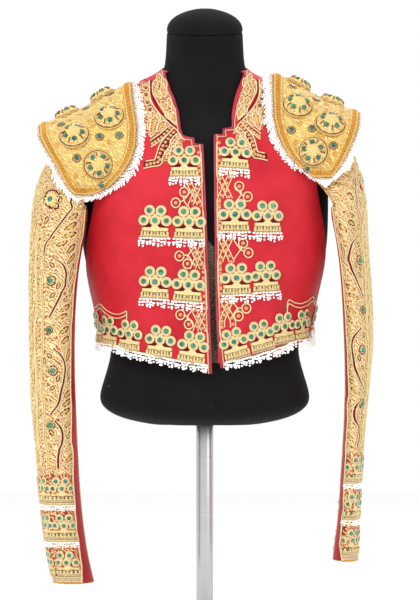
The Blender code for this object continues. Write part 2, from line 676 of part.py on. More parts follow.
def cluster_grid(angle, height, side=0):
    """Outer and under points of one tassel cluster round a point of the body."""
    rate = arc_rate(JACKET, angle, height)
    columns = 5
    outer, under = [], []
    for rise, half_width, thick in CLUSTER_ROWS:
        row_out, row_in = [], []
        level = height + rise
        limit = None
        if side:
            limit = angle_at(JACKET, line_table(FRONT_EDGE[side], min(level, 678.0)) + side * EDGE_WIDE, level)
        for j in range(columns):
            share = -1.0 + 2.0 * j / (columns - 1)
            turn = angle + share * half_width / rate
            if limit is not None:
                turn = max(turn, limit) if side > 0 else min(turn, limit)
            bump = thick * (0.55 if j in (0, columns - 1) else 1.0)
            row_out.append(on_body(JACKET, turn, level, LIE + bump))
            row_in.append(on_body(JACKET, turn, level, LIE))
        outer.append(row_out)
        under.append(row_in)
    return outer, under


def build_clusters(collection):
    """Tassel clusters on the fronts and the back."""
    for side in (RIGHT, LEFT):
        for name, x, height in CLUSTERS[side]:
            outer, under = cluster_grid(angle_at(JACKET, x, height), height, side)
            shell_solid("tassel_%s_%s" % (name, SIDE_NAMES[side]), outer, under, collection, GOLD, roughness=0.45)
    for name, height in BACK_CLUSTERS:
        for number, turn in enumerate(BACK_CLUSTER_ANGLES):
            outer, under = cluster_grid(math.pi + math.radians(turn), height)
            shell_solid("tassel_%s_%d" % (name, number + 1), outer, under, collection, GOLD, roughness=0.45)


def build_hem(collection):
    """Rows of clusters along the hem with their bead fringe, on each front and on the back."""
    profile = ((-9.0, 1.4), (8.0, 2.4), (22.0, 2.6), (38.0, 3.2), (50.0, 1.6))
    spans = {
        "hem_trim_right": (angle_at(JACKET, 2.5, 390.0), math.radians(-86.0), RIGHT),
        "hem_trim_left": (angle_at(JACKET, 24.5, 390.0), math.radians(86.0), LEFT),
    }
    for name, (first, last, side) in spans.items():
        make_hem(name, first, last, 15, profile, collection)
    make_hem("hem_trim_back", math.radians(94.0), math.radians(266.0), 21, profile, collection)


def make_hem(name, first, last, count, profile, collection):
    """One hem trim between two angles."""
    outer, under = [], []
    for rise, thick in profile:
        row_out, row_in = [], []
        for j in range(count):
            angle = first + (last - first) * j / (count - 1)
            turn = math.degrees(angle)
            if turn > 180.0:
                foot = line_table(HEM[RIGHT], 360.0 - turn)
            else:
                foot = line_table(HEM[LEFT if turn > 0 else RIGHT], abs(turn))
            row_out.append(on_body(JACKET, angle, foot + rise, HEM_LIE + thick))
            row_in.append(on_body(JACKET, angle, foot + rise, HEM_LIE))
        outer.append(row_out)
        under.append(row_in)
    shell_solid(name, outer, under, collection, GOLD, roughness=0.45)


def build_edges(collection):
    """Piping along each front edge, on the rows of its front."""
    for side in (RIGHT, LEFT):
        edge = FRONT_EDGE[side]
        top = 681.0 if side == RIGHT else 694.0
        heights = [row[0][1] for row in front_rows(side) if row[0][1] < top]
        outer, under = [], []
        for height in heights:
            start = line_table(edge, height)
            places = [angle_at(JACKET, start + side * shift, height) for shift in (0.3, 1.6, EDGE_WIDE - 0.6)]
            outer.append([on_body(JACKET, angle, height, 0.5 + thick)
                          for angle, thick in zip(places, (1.8, 2.6, 1.8))])
            under.append([on_body(JACKET, angle, height, 0.5) for angle in places])
        shell_solid("front_edge_" + SIDE_NAMES[side], outer, under, collection, RED, roughness=0.4)


def build_yokes(collection):
    """Corded embroidery between the collar and the epaulet, on the rows of each front."""
    for side in (RIGHT, LEFT):
        edge = FRONT_EDGE[side]
        heights = [row[0][1] for row in front_rows(side) if 692.0 < row[0][1] < 770.0]
        outer, under = [], []
        for height in heights:
            seam = abs(line_table(edge, height)) + 3.0
            far = line_table(((690.0, 73.0), (720.0, 73.0), (735.0, 74.0), (752.0, 77.0), (769.0, 79.5)), height)
            row_out, row_in = [], []
            for j in range(4):
                angle = angle_at(JACKET, side * (seam + (far - seam) * j / 3), height)
                thick = 1.2 if j in (0, 3) else 1.8
                row_out.append(on_body(JACKET, angle, height, 0.9 + thick))
                row_in.append(on_body(JACKET, angle, height, 0.9))
            outer.append(row_out)
            under.append(row_in)
        shell_solid("shoulder_trim_" + SIDE_NAMES[side], outer, under, collection, GOLD, roughness=0.45)


def support_tree(names):
    """One search tree over the faces of several finished solids."""
    points, faces = [], []
    for name in names:
        mesh = bpy.data.objects[name].data
        base = len(points)
        points.extend([vertex.co / MM for vertex in mesh.vertices])
        faces.extend([[base + index for index in polygon.vertices] for polygon in mesh.polygons])
    return BVHTree.FromPolygons(points, faces)


def resting_drop(grid, tree):
    """How far a sheet of points can be lowered until it lies on the pieces below it."""
    columns = len(grid[0])
    faces = [(i * columns + j, i * columns + j + 1, (i + 1) * columns + j + 1, (i + 1) * columns + j)
             for i in range(len(grid) - 1) for j in range(columns - 1)]
    drop = 0.0
    while drop < 12.0:
        points = [point - Vector((0.0, 0.0, drop + REST_GAP)) for line in grid for point in line]
        if BVHTree.FromPolygons(points, faces).overlap(tree):
            break
        drop += 0.1
    return drop


def build_epaulets(collection):
    """Stiff padded plates over the shoulders, with domes and a bead fringe."""
    for side in (RIGHT, LEFT):
        word = SIDE_NAMES[side]
        tree = support_tree(["front_" + word, "back_right", "back_left", "sleeve_front_" + word,
                             "sleeve_back_" + word, "shoulder_trim_" + word, "collar", "dress_form"])
        centre_z = EPAULET_CENTRE[side]
        table = EPAULET[side]
        tip = table[-1][0]
        rows, columns = 27, 13

        def middle_y(x):
            """Depth of the shoulder's middle line, further forward over the arm."""
            return 6.0 - 0.22 * max(0.0, min(x, 225.0) - 125.0)

        def outside(x, psi, gap, low):
            """Distance from the shoulder's middle line that clears what lies below."""
            way = Vector((0.0, -math.sin(psi), math.cos(psi)))
            start = Vector((side * x, middle_y(x), centre_z)) + way * 220.0
            hit = tree.ray_cast(start, -way, 205.0)
            reach = 220.0 - hit[3] if hit[0] is not None else 0.0
            return max(reach + gap, low)

        def lowest(x, psi):
            """Height of a stiff plate that has nothing below it."""
            top = line_table(EPAULET_TOP, x) - 650.0
            flank = line_table(EPAULET_SIDE, x)
            c, s = math.cos(psi) / top, math.sin(psi) / flank
            return 1.0 / math.sqrt(c * c + s * s)

        places = []
        reach = []
        for i in range(rows):
            psi = math.radians(-tip + 2 * tip * i / (rows - 1))
            inner_x, outer_x = ease_table(table, abs(math.degrees(psi)))
            places.append([(inner_x + (outer_x - inner_x) * j / (columns - 1), psi) for j in range(columns)])
            reach.append([outside(x, psi, 6.5 + 6.0 * (math.degrees(abs(psi)) / tip) ** 2, lowest(x, psi))
                          for x, psi in places[-1]])
        need = [row[:] for row in reach]
        for _ in range(12):
            for i in range(rows):
                for j in range(columns):
                    near = [reach[min(max(i + a, 0), rows - 1)][min(max(j + b, 0), columns - 1)]
                            for a, b in ((1, 0), (-1, 0), (0, 1), (0, -1))]
                    reach[i][j] = max(need[i][j], sum(near) / 4.0)
        grid = [[Vector((side * x, middle_y(x) - r * math.sin(psi), centre_z + r * math.cos(psi)))
                 for (x, psi), r in zip(line, far)] for line, far in zip(places, reach)]
        normals = grid_normals(grid)
        middle = normals[rows // 2][columns // 2]
        flip = 1.0 if middle.z > 0 else -1.0
        normals = [[normal * flip for normal in line] for line in normals]
        domes = []
        for across, along, radius in DOMES[side]:
            for way in (1, -1) if along else (1,):
                i = (rows - 1) / 2 * (1 + way * along)
                j = across * (columns - 1)
                low_i, low_j = int(i), int(j)
                centre = grid[low_i][low_j].lerp(grid[min(low_i + 1, rows - 1)][low_j], i - low_i)
                other = grid[low_i][min(low_j + 1, columns - 1)]
                domes.append((centre.lerp(other, (j - low_j) * 0.99), radius))
        outer = []
        for line, lean in zip(grid, normals):
            row = []
            for point, normal in zip(line, lean):
                bump = 0.0
                for centre, radius in domes:
                    away = (point - centre).length / radius
                    if away < 1.0:
                        bump = max(bump, DOME_RISE * math.sqrt(1.0 - away * away))
                row.append(point + normal * bump)
            outer.append(row)
        under = [[point - normal * EPAULET_THICK for point, normal in zip(line, lean)]
                 for line, lean in zip(grid, normals)]
        drop = resting_drop(under, tree)
        for lines in (grid, outer, under):
            for line in lines:
                for point in line:
                    point.z -= drop
        shell_solid("epaulet_" + word, outer, under, collection, GOLD, roughness=0.4)

        along = [i for i in range(rows) if i % 2 == 0 or i < 6 or i > rows - 7]
        loop = [(i, 0) for i in along]
        loop += [(rows - 1, j) for j in range(2, columns, 2)]
        loop += [(i, columns - 1) for i in reversed(along[:-1])]
        loop += [(0, j) for j in range(columns - 3, 0, -2)]
        spots = [places[i][j] for i, j in loop]
        flat = [(x, psi * 95.0) for x, psi in spots]
        count = len(loop)
        outer, below = [[], [], []], [[], [], []]
        for index, (i, j) in enumerate(loop):
            before, after = flat[index - 1], flat[(index + 1) % count]
            way = Vector((after[1] - before[1], -(after[0] - before[0]))).normalized()
            if way.dot(Vector((flat[index][0] - 158.0, flat[index][1]))) < 0:
                way = -way
            x, psi = spots[index]
            over_arm = x > 185.0 and abs(psi) < 1.35
            wide = 8.0 if over_arm else 13.0
            beside = grid[min(max(i, 2), rows - 3)][min(max(j, 2), columns - 3)]
            lean = normals[i][j]
            away = grid[i][j] - beside
            away = (away - lean * away.dot(lean)).normalized()
            outer[0].append(grid[i][j] + away * 2.6 - lean * 0.4)
            below[0].append(grid[i][j] + away * 2.6 - lean * 2.2)
            for step, share in ((1, 0.55), (2, 1.0)):
                move = 2.0 + (wide - 2.0) * share
                new_x = x + way.x * move
                new_psi = psi + way.y * move / 95.0
                tip_gap = 4.0 if abs(psi) > 1.4 else 0.0
                clear = max(outside(new_x + a, new_psi + b, 5.5 + tip_gap, 0.0)
                            for a, b in ((0, 0), (8, 0), (-8, 0), (0, 0.1), (0, -0.1), (5, 0.07), (-5, -0.07)))
                far = max(clear, reach[i][j] - 2.0 - (12.0 if over_arm else 16.0) * share)
                for line, length in ((outer[step], far), (below[step], far - 1.8)):
                    line.append(Vector((side * new_x, middle_y(new_x) - length * math.sin(new_psi),
                                        centre_z + length * math.cos(new_psi))))
        shell_solid("epaulet_fringe_" + word, outer, below, collection, WHITE, closed=True, roughness=0.35)


def main():
    """Clear the file and build every piece."""
    for thing in list(bpy.data.objects):
        bpy.data.objects.remove(thing, do_unlink=True)
    collection = bpy.data.collections.new("matador_jacket_on_form")
    bpy.context.scene.collection.children.link(collection)
    build_stand(collection)
    build_panels(collection)
    build_collar(collection)
    build_sleeves(collection)
    build_clusters(collection)
    build_hem(collection)
    build_edges(collection)
    build_yokes(collection)
    build_epaulets(collection)


main()
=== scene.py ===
"""Looks of a matador jacket on a limbless dress form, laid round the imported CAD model."""
import logging
import math
from contextlib import contextmanager
from dataclasses import dataclass, field
from enum import Enum
from typing import Callable, Iterable, Iterator, Sequence

import bpy
import numpy as np
from mathutils import Matrix, Vector, noise
from mathutils.bvhtree import BVHTree


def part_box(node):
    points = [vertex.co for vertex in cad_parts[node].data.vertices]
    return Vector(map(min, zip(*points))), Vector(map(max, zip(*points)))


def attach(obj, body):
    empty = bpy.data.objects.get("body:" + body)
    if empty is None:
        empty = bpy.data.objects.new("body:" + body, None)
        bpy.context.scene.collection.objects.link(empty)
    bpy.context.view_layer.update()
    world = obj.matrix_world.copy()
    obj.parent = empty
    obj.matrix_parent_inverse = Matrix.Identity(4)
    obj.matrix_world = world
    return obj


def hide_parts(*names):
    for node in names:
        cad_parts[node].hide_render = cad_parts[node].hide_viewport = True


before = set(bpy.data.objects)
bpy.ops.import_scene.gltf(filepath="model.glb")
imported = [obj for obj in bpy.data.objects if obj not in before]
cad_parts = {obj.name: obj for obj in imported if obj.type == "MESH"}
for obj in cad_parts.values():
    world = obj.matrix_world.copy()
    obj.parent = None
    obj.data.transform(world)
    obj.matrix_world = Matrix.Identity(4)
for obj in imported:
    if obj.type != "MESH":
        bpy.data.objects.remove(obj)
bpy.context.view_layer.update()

LOG = logging.getLogger("jacket")
MM = 0.001
PIXEL = 1.35
MIDDLE_COLUMN = 204.5
FLOOR_ROW = 650.0
Point = tuple[float, float]
Colour = tuple[float, float, float]
WHITE: Colour = (1.0, 1.0, 1.0)
BLACK: Colour = (0.0, 0.0, 0.0)


class Side(Enum):
    """A side of the jacket, as its wearer has it, with the sign of its X."""

    RIGHT = -1
    LEFT = 1

    @property
    def word(self) -> str:
        """Name of the side in node names."""
        return self.name.lower()


def photo_mm(column: float, row: float) -> Point:
    """Width and height in millimetres of a place in the front view."""
    return (column - MIDDLE_COLUMN) * PIXEL, (FLOOR_ROW - row) * PIXEL


def photo_path(places: Iterable[Point]) -> list[Point]:
    """Widths and heights of several places in the front view."""
    return [photo_mm(*spot) for spot in places]


def other_half(column: float, row: float) -> Point:
    """The same place on the other front, which hangs a little higher."""
    share = min(max((row - 70.0) / 80.0, 0.0), 1.0)
    inner = min(max((column - 148.0) / 36.0, 0.0), 1.0)
    return 408.0 + (2.5 + 8.5 * inner) * share - column, row - 8.0 * share


# Finishes


class Board:
    """Shader node sheet of one material or node group."""

    def __init__(self, tree: bpy.types.NodeTree) -> None:
        """Keeps the tree that nodes are added to, and its shader if it has one."""
        self.tree = tree
        self.shader = tree.nodes.get("Principled BSDF")

    def add(self, kind: str, **values: object) -> bpy.types.Node:
        """Adds a node, sets its properties and inputs, and links the inputs that are given an output.

        Args:
            kind: Blender's type name of the node.
            **values: properties by name; inputs by name, with underscores for spaces, or by number, as in_0.

        Returns:
            The new node.
        """
        node = self.tree.nodes.new(kind)
        for name, value in values.items():
            if hasattr(node, name):
                setattr(node, name, value)
                continue
            entry = node.inputs[int(name[3:]) if name.startswith("in_") else name.replace("_", " ")]
            if isinstance(value, bpy.types.NodeSocket):
                self.join(value, entry)
            else:
                entry.default_value = value
        return node

    def join(self, start: bpy.types.NodeSocket, end: bpy.types.NodeSocket) -> None:
        """Links an output to an input."""
        self.tree.links.new(start, end)

    def place(self) -> bpy.types.NodeSocket:
        """Output with the place in the object's own frame."""
        return self.add("ShaderNodeTexCoord").outputs["Object"]

    def ramp(self, start: bpy.types.NodeSocket, *stops: tuple[float, tuple]) -> bpy.types.NodeSocket:
        """Adds a colour ramp.

        Args:
            start: the output that drives it.
            *stops: positions with their colours.

        Returns:
            The ramp's colour output.
        """
        node = self.add("ShaderNodeValToRGB", in_0=start)
        band = node.color_ramp
        while len(band.elements) < len(stops):
            band.elements.new(0.5)
        for element, (place, colour) in zip(band.elements, stops):
            element.position = place
            element.color = (*colour, 1.0)
        return node.outputs[0]

    def tint(self, colour: bpy.types.NodeSocket) -> None:
        """Gives the shader a colour from an output."""
        self.join(colour, self.shader.inputs["Base Color"])

    def roughen(self, driver: bpy.types.NodeSocket, low: float, high: float) -> None:
        """Lets an output drive the shader's roughness between two values."""
        rough = self.add("ShaderNodeMapRange", Value=driver, To_Min=low, To_Max=high)
        self.join(rough.outputs[0], self.shader.inputs["Roughness"])

    def bump(self, height: bpy.types.NodeSocket, depth: float,
             under: bpy.types.Node | None = None) -> bpy.types.Node:
        """Bump node in front of the shader's normal.

        Args:
            height: output that gives the height.
            depth: real height of the pattern in metres.
            under: an earlier bump that this one is laid on.

        Returns:
            The bump node.
        """
        node = self.add("ShaderNodeBump", Distance=depth, Strength=1.0, Height=height)
        if under is not None:
            self.join(under.outputs["Normal"], node.inputs["Normal"])
        self.join(node.outputs["Normal"], self.shader.inputs["Normal"])
        return node


def effect_group(name: str, sockets: Sequence[tuple[str, float]], fill: Callable) -> bpy.types.NodeTree:
    """Node group shared by several finishes.

    Args:
        name: name of the group.
        sockets: inputs with their usual values.
        fill: draws the nodes from the board and the entry's outputs, and returns outputs by name.

    Returns:
        The group's tree.
    """
    group = bpy.data.node_groups.new(name, "ShaderNodeTree")
    for word, value in sockets:
        socket = group.interface.new_socket(word, in_out="INPUT", socket_type="NodeSocketFloat")
        socket.default_value = value
    board = Board(group)
    found = fill(board, board.add("NodeGroupInput").outputs)
    leave = board.add("NodeGroupOutput")
    for word, output in found.items():
        group.interface.new_socket(word, in_out="OUTPUT", socket_type="NodeSocketFloat")
        board.join(output, leave.inputs[word])
    return group


def fill_thread(board: Board, entry: bpy.types.NodeOutputs) -> dict[str, bpy.types.NodeSocket]:
    """Draws couched thread: fine wandering ridges, between which the finishes paint darker gaps (partly the
    ground, partly painted shade), and a fine speckle that drives a painted glint and a fine bump.
    """
    place = board.place()
    wander = board.add("ShaderNodeTexNoise", Detail=2.0, Vector=place, Scale=entry["Curl Scale"])
    shift = board.add("ShaderNodeVectorMath", operation="SCALE", in_0=wander.outputs["Color"],
                      Scale=entry["Curl"])
    moved = board.add("ShaderNodeVectorMath", operation="ADD", in_0=place, in_1=shift.outputs[0])
    wave = board.add("ShaderNodeTexWave", wave_type="BANDS", bands_direction="DIAGONAL", Distortion=1.5,
                     Detail=1.0, Vector=moved.outputs[0], Scale=entry["Scale"])
    speck = board.add("ShaderNodeTexNoise", Scale=900.0, Detail=1.0, Vector=place)
    return {"Ridge": wave.outputs["Fac"], "Speck": speck.outputs["Fac"]}


def fill_cloth(board: Board, entry: bpy.types.NodeOutputs) -> dict[str, bpy.types.NodeSocket]:
    """Draws a fine weave with a soft uneven tone."""
    place = board.place()
    bands = [board.add("ShaderNodeTexWave", wave_type="BANDS", bands_direction=way, Distortion=0.4,
                       Vector=place, Scale=entry["Scale"]).outputs["Fac"] for way in "ZX"]
    weave = board.add("ShaderNodeMath", operation="MULTIPLY", in_0=bands[0], in_1=bands[1])
    tone = board.add("ShaderNodeTexNoise", Detail=4.0, Roughness=0.6, Vector=place, Scale=entry["Tone Scale"])
    return {"Weave": weave.outputs[0], "Tone": tone.outputs["Fac"]}


THREAD = effect_group("couched_thread", (("Scale", 300.0), ("Curl", 0.006), ("Curl Scale", 120.0)),
                      fill_thread)
WEAVE = effect_group("woven_cloth", (("Scale", 500.0), ("Tone Scale", 14.0)), fill_cloth)


@dataclass(frozen=True)
class Finish:
    """Common settings of a finish.

    Args:
        name: name of the material.
        colour: main colour, linear.
        roughness: roughness of the shader.
        metallic: share of metal.
        coat: weight of a clear coat.
        sheen: weight of the cloth sheen.
        gloss: strength of the plain reflection.
    """

    name: str
    colour: Colour
    roughness: float = 0.5
    metallic: float = 0.0
    coat: float = 0.0
    sheen: float = 0.0
    gloss: float = 0.5

    def material(self) -> bpy.types.Material:
        """Builds the material with its shader and what this kind of finish draws."""
        material = bpy.data.materials.new(self.name)
        material.use_nodes = True
        material.diffuse_color = (*self.colour, 1.0)
        board = Board(material.node_tree)
        for word, value in (("Base Color", (*self.colour, 1.0)), ("Roughness", self.roughness),
                            ("Metallic", self.metallic), ("Coat Weight", self.coat), ("Coat Roughness", 0.12),
                            ("Sheen Weight", self.sheen), ("Sheen Roughness", 0.4),
                            ("Specular IOR Level", self.gloss)):
            board.shader.inputs[word].default_value = value
        self.draw(board)
        return material

    def draw(self, board: Board) -> None:
        """Draws the pattern; a plain finish has none."""


@dataclass(frozen=True)
class Satin(Finish):
    """Smooth woven satin whose tone goes deeper in soft patches that fall at random."""

    deep: Colour = (0.4, 0.01, 0.02)

    def draw(self, board: Board) -> None:
        """Draws the weave and its tone."""
        cloth = board.add("ShaderNodeGroup", node_tree=WEAVE, Scale=620.0, Tone_Scale=16.0).outputs
        board.tint(board.ramp(cloth["Tone"], (0.3, self.deep), (0.62, self.colour)))
        board.roughen(cloth["Tone"], self.roughness - 0.06, self.roughness + 0.08)
        board.bump(cloth["Weave"], 0.00006)


@dataclass(frozen=True)
class GoldThread(Finish):
    """Metallic thread with fine ridges: a painted highlight makes their tops paler, and the gaps between are
    deeper, partly the ground showing through and partly painted shade.

    Args:
        pale_and_highlight: colour of the ridges' tops, a painted highlight; on the mottled lining it is also
            the paler mottle.
        gap: colour between the ridges, partly the ground showing through and partly painted shade.
        scale: how many ridges there are.
        curl: how far they wander, in metres.
        curl_scale: how soon they turn.
        gap_share: share of the gaps.
        depth: height of the ridges in metres.
    """

    pale_and_highlight: Colour = (0.9, 0.7, 0.35)
    gap: Colour = (0.3, 0.12, 0.03)
    scale: float = 420.0
    curl: float = 0.004
    curl_scale: float = 160.0
    gap_share: float = 0.18
    depth: float = 0.0003

    def draw(self, board: Board) -> None:
        """Draws the ridges and a fine painted glint."""
        thread = board.add("ShaderNodeGroup", node_tree=THREAD, Scale=self.scale, Curl=self.curl,
                           Curl_Scale=self.curl_scale).outputs
        # The ridge tops take a painted highlight; the gaps take the ground's colour darkened with painted
        # shade.
        shade = board.ramp(thread["Ridge"], (self.gap_share * 0.4, self.gap),
                           (self.gap_share + 0.08, self.colour), (0.8, self.colour), (1.0, self.pale_and_highlight))
        # Painted glint: a fine speckle dims the thread's colour between bright spots.
        glint_spots = board.ramp(thread["Speck"], (0.35, (0.55, 0.5, 0.45)), (0.6, WHITE))
        glint = board.add("ShaderNodeMix", data_type="RGBA", blend_type="MULTIPLY", Factor=0.35, A=shade,
                          B=glint_spots)
        board.tint(glint.outputs["Result"])
        ridges = board.bump(thread["Ridge"], self.depth)
        board.bump(thread["Speck"], 0.0001, ridges)


@dataclass(frozen=True)
class Jersey(Finish):
    """Stretched black jersey with a soft nap and a few specks of lint."""

    lint: Colour = (0.35, 0.34, 0.33)

    def draw(self, board: Board) -> None:
        """Draws the knit, its tone and the lint."""
        cloth = board.add("ShaderNodeGroup", node_tree=WEAVE, Scale=420.0, Tone_Scale=9.0).outputs
        light = tuple(1.9 * part for part in self.colour)
        shade = board.ramp(cloth["Tone"], (0.3, self.colour), (0.75, light))
        place = board.place()
        fluff = board.add("ShaderNodeTexVoronoi", Scale=62.0, Vector=place)
        speck = board.ramp(fluff.outputs["Distance"], (0.035, WHITE), (0.06, BLACK))
        patch = board.add("ShaderNodeTexNoise", Scale=11.0, Vector=place)
        few = board.ramp(patch.outputs["Fac"], (0.56, BLACK), (0.64, WHITE))
        both = board.add("ShaderNodeMath", operation="MULTIPLY", in_0=speck, in_1=few)
        mix = board.add("ShaderNodeMix", data_type="RGBA", Factor=both.outputs[0], A=shade,
                        B=(*self.lint, 1.0))
        board.tint(mix.outputs["Result"])
        board.bump(cloth["Weave"], 0.0001)


@dataclass(frozen=True)
class Steel(Finish):
    """Brushed steel with fine scratches that run round the tube."""

    def draw(self, board: Board) -> None:
        """Draws the scratches."""
        turn = board.add("ShaderNodeMapping", Scale=(30.0, 30.0, 2400.0), Vector=board.place())
        brush = board.add("ShaderNodeTexNoise", Scale=1.0, Detail=3.0, Vector=turn.outputs[0]).outputs["Fac"]
        dull = tuple(0.8 * part for part in self.colour)
        board.tint(board.ramp(brush, (0.3, dull), (0.7, self.colour)))
        board.roughen(brush, self.roughness - 0.08, self.roughness + 0.12)
        board.bump(brush, 0.00002)


@dataclass(frozen=True)
class Glass(Finish):
    """Glossy glass of beads and stones, with a tone that changes inside and a painted glow where one is set.
    """

    deep: Colour = (0.6, 0.58, 0.54)
    scale: float = 260.0
    painted_glow: float = 0.0

    def draw(self, board: Board) -> None:
        """Draws the cloudy tone and the painted glow, an emission that brightens the glass though it is no
        lamp.
        """
        board.shader.inputs["Emission Color"].default_value = (*self.colour, 1.0)
        board.shader.inputs["Emission Strength"].default_value = self.painted_glow
        noise_node = board.add("ShaderNodeTexNoise", Scale=self.scale, Detail=1.0, Vector=board.place())
        cloud = noise_node.outputs["Fac"]
        board.tint(board.ramp(cloud, (0.35, self.deep), (0.62, self.colour)))
        board.bump(cloud, 0.00008)


RED_SATIN = Satin("red_satin", (0.64, 0.018, 0.033), gloss=0.24, deep=(0.48, 0.008, 0.018))
# STRIP_RED is a darker copy of the red satin: painted shade on the strip along the sleeve's seam.
STRIP_RED = Satin("strip_red", (0.47, 0.024, 0.032), gloss=0.2, deep=(0.34, 0.012, 0.016))
SHOULDER_GROUND = GoldThread("shoulder_ground", (0.80, 0.36, 0.12), metallic=0.15, pale_and_highlight=(1.0, 0.76, 0.42),
                             gap=(0.34, 0.015, 0.012), scale=112.0, curl=0.012, curl_scale=110.0,
                             gap_share=0.50, depth=0.0006)
RED_PIPING = Satin("red_piping", (0.46, 0.035, 0.060), roughness=0.3, deep=(0.24, 0.008, 0.020))
# DARK_RED is the red ground where it shows between and under the raised gold work, darkened with painted
# shade.
DARK_RED = Satin("dark_red", (0.20, 0.010, 0.012), roughness=0.6, gloss=0.1, deep=(0.09, 0.006, 0.006))
LINING = GoldThread("lining", (0.10, 0.045, 0.03), roughness=0.7, pale_and_highlight=(0.42, 0.34, 0.26),
                    gap=(0.02, 0.06, 0.022), scale=70.0, curl=0.035, curl_scale=170.0, gap_share=0.38,
                    depth=0.0002)
SLEEVE_GOLD = GoldThread("sleeve_gold", (1.0, 0.70, 0.29), metallic=0.05, pale_and_highlight=(1.0, 0.90, 0.56),
                         gap=(0.46, 0.09, 0.03), scale=105.0, curl=0.012, curl_scale=110.0, gap_share=0.26,
                         depth=0.0005)
PALE_CORD = GoldThread("pale_cord", (1.0, 0.84, 0.46), roughness=0.45, metallic=0.05,
                       pale_and_highlight=(1.0, 0.95, 0.72), gap=(0.80, 0.46, 0.18), scale=700.0, gap_share=0.10,
                       depth=0.0001)
ROSE_CORD = GoldThread("rose_cord", (0.93, 0.52, 0.33), roughness=0.45, metallic=0.15,
                       pale_and_highlight=(1.0, 0.78, 0.58), gap=(0.55, 0.2, 0.12), scale=700.0, gap_share=0.12,
                       depth=0.00012)
BRIGHT_GOLD = GoldThread("bright_gold", (0.93, 0.58, 0.14), roughness=0.42, metallic=0.25,
                         pale_and_highlight=(1.0, 0.85, 0.42), gap=(0.46, 0.2, 0.03), depth=0.00018)
LIGHT_GOLD = GoldThread("light_gold", (1.0, 0.82, 0.36), roughness=0.42, metallic=0.08,
                        pale_and_highlight=(1.0, 0.93, 0.62), gap=(0.75, 0.42, 0.10), gap_share=0.15, depth=0.00015)
EPAULET_GOLD = GoldThread("epaulet_gold", (1.0, 0.68, 0.17), roughness=0.45, metallic=0.1,
                          pale_and_highlight=(1.0, 0.87, 0.40), gap=(0.76, 0.38, 0.05), scale=95.0, curl=0.011,
                          curl_scale=130.0, gap_share=0.22, depth=0.0006)
DOME_GOLD = GoldThread("dome_gold", (1.0, 0.75, 0.25), roughness=0.42, metallic=0.1, pale_and_highlight=(1.0, 0.90, 0.50),
                       gap=(0.66, 0.32, 0.05), scale=180.0, curl_scale=90.0, gap_share=0.16)
BORDER_GOLD = GoldThread("border_gold", (0.82, 0.38, 0.03), roughness=0.45, metallic=0.25,
                         pale_and_highlight=(1.0, 0.62, 0.12), gap=(0.42, 0.14, 0.01), gap_share=0.15, depth=0.0002)
BEIGE_CORD = GoldThread("beige_cord", (0.93, 0.74, 0.46), metallic=0.05, pale_and_highlight=(1.0, 0.93, 0.76),
                        gap=(0.45, 0.22, 0.08), gap_share=0.2, depth=0.00015)
STUD_GOLD = GoldThread("stud_gold", (0.90, 0.42, 0.15), roughness=0.35, metallic=0.25,
                       pale_and_highlight=(1.0, 0.78, 0.5), gap=(0.5, 0.14, 0.04), scale=380.0, gap_share=0.15,
                       depth=0.0001)
DARK_THREAD = GoldThread("dark_thread", (0.27, 0.095, 0.03), roughness=0.55, pale_and_highlight=(0.46, 0.22, 0.08),
                         gap=(0.10, 0.03, 0.012), scale=500.0, depth=0.0001)
# The white beads have a painted glow: emission that brightens them as if more light fell on them.
WHITE_BEADS = Glass("white_beads", (1.0, 0.99, 0.98), roughness=0.25, coat=0.4, deep=(0.95, 0.92, 0.90),
                    painted_glow=0.24)
GREEN_STONE = Glass("green_stone", (0.03, 0.30, 0.15), roughness=0.1, coat=0.9, gloss=0.6,
                    deep=(0.004, 0.06, 0.035))
DARK_STONE = Glass("dark_stone", (0.010, 0.20, 0.11), roughness=0.1, coat=0.8, deep=(0.004, 0.035, 0.025))
BLACK_JERSEY = Jersey("black_jersey", (0.0065, 0.006, 0.0065), roughness=0.9, sheen=0.02, gloss=0.12)
BRUSHED_STEEL = Steel("brushed_steel", (0.62, 0.62, 0.63), roughness=0.3, metallic=1.0)
MADE: dict[str, bpy.types.Material] = {}


def dress(thing: bpy.types.Object, finish: Finish, slot: str | None = None) -> bpy.types.Object:
    """Gives an object its finish, building the material the first time.

    Args:
        thing: the object.
        finish: its finish.
        slot: for a new piece, any name; when given, the object is attached to the root body.

    Returns:
        The object.
    """
    if finish.name not in MADE:
        MADE[finish.name] = finish.material()
    thing.data.materials.clear()
    thing.data.materials.append(MADE[finish.name])
    if slot:
        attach(thing, "root")
    return thing


# Work on meshes


def only(thing: bpy.types.Object) -> bpy.types.Object:
    """Selects one object alone and makes it active."""
    bpy.ops.object.select_all(action="DESELECT")
    thing.select_set(True)
    bpy.context.view_layer.objects.active = thing
    return thing


@contextmanager
def edit_mode(action: str = "SELECT") -> Iterator[None]:
    """Edit mode on the active object, entered with everything selected or nothing."""
    bpy.ops.object.mode_set(mode="EDIT")
    bpy.ops.mesh.select_all(action=action)
    yield
    bpy.ops.object.mode_set(mode="OBJECT")


def new_mesh(name: str, points: np.ndarray, faces: Sequence[Sequence[int]]) -> bpy.types.Object:
    """Object at the origin with the given points and faces, shaded smooth."""
    mesh = bpy.data.meshes.new(name)
    mesh.from_pydata(np.asarray(points).tolist(), [], faces)
    mesh.update()
    mesh.polygons.foreach_set("use_smooth", [True] * len(mesh.polygons))
    thing = bpy.data.objects.new(name, mesh)
    bpy.context.scene.collection.objects.link(thing)
    return thing


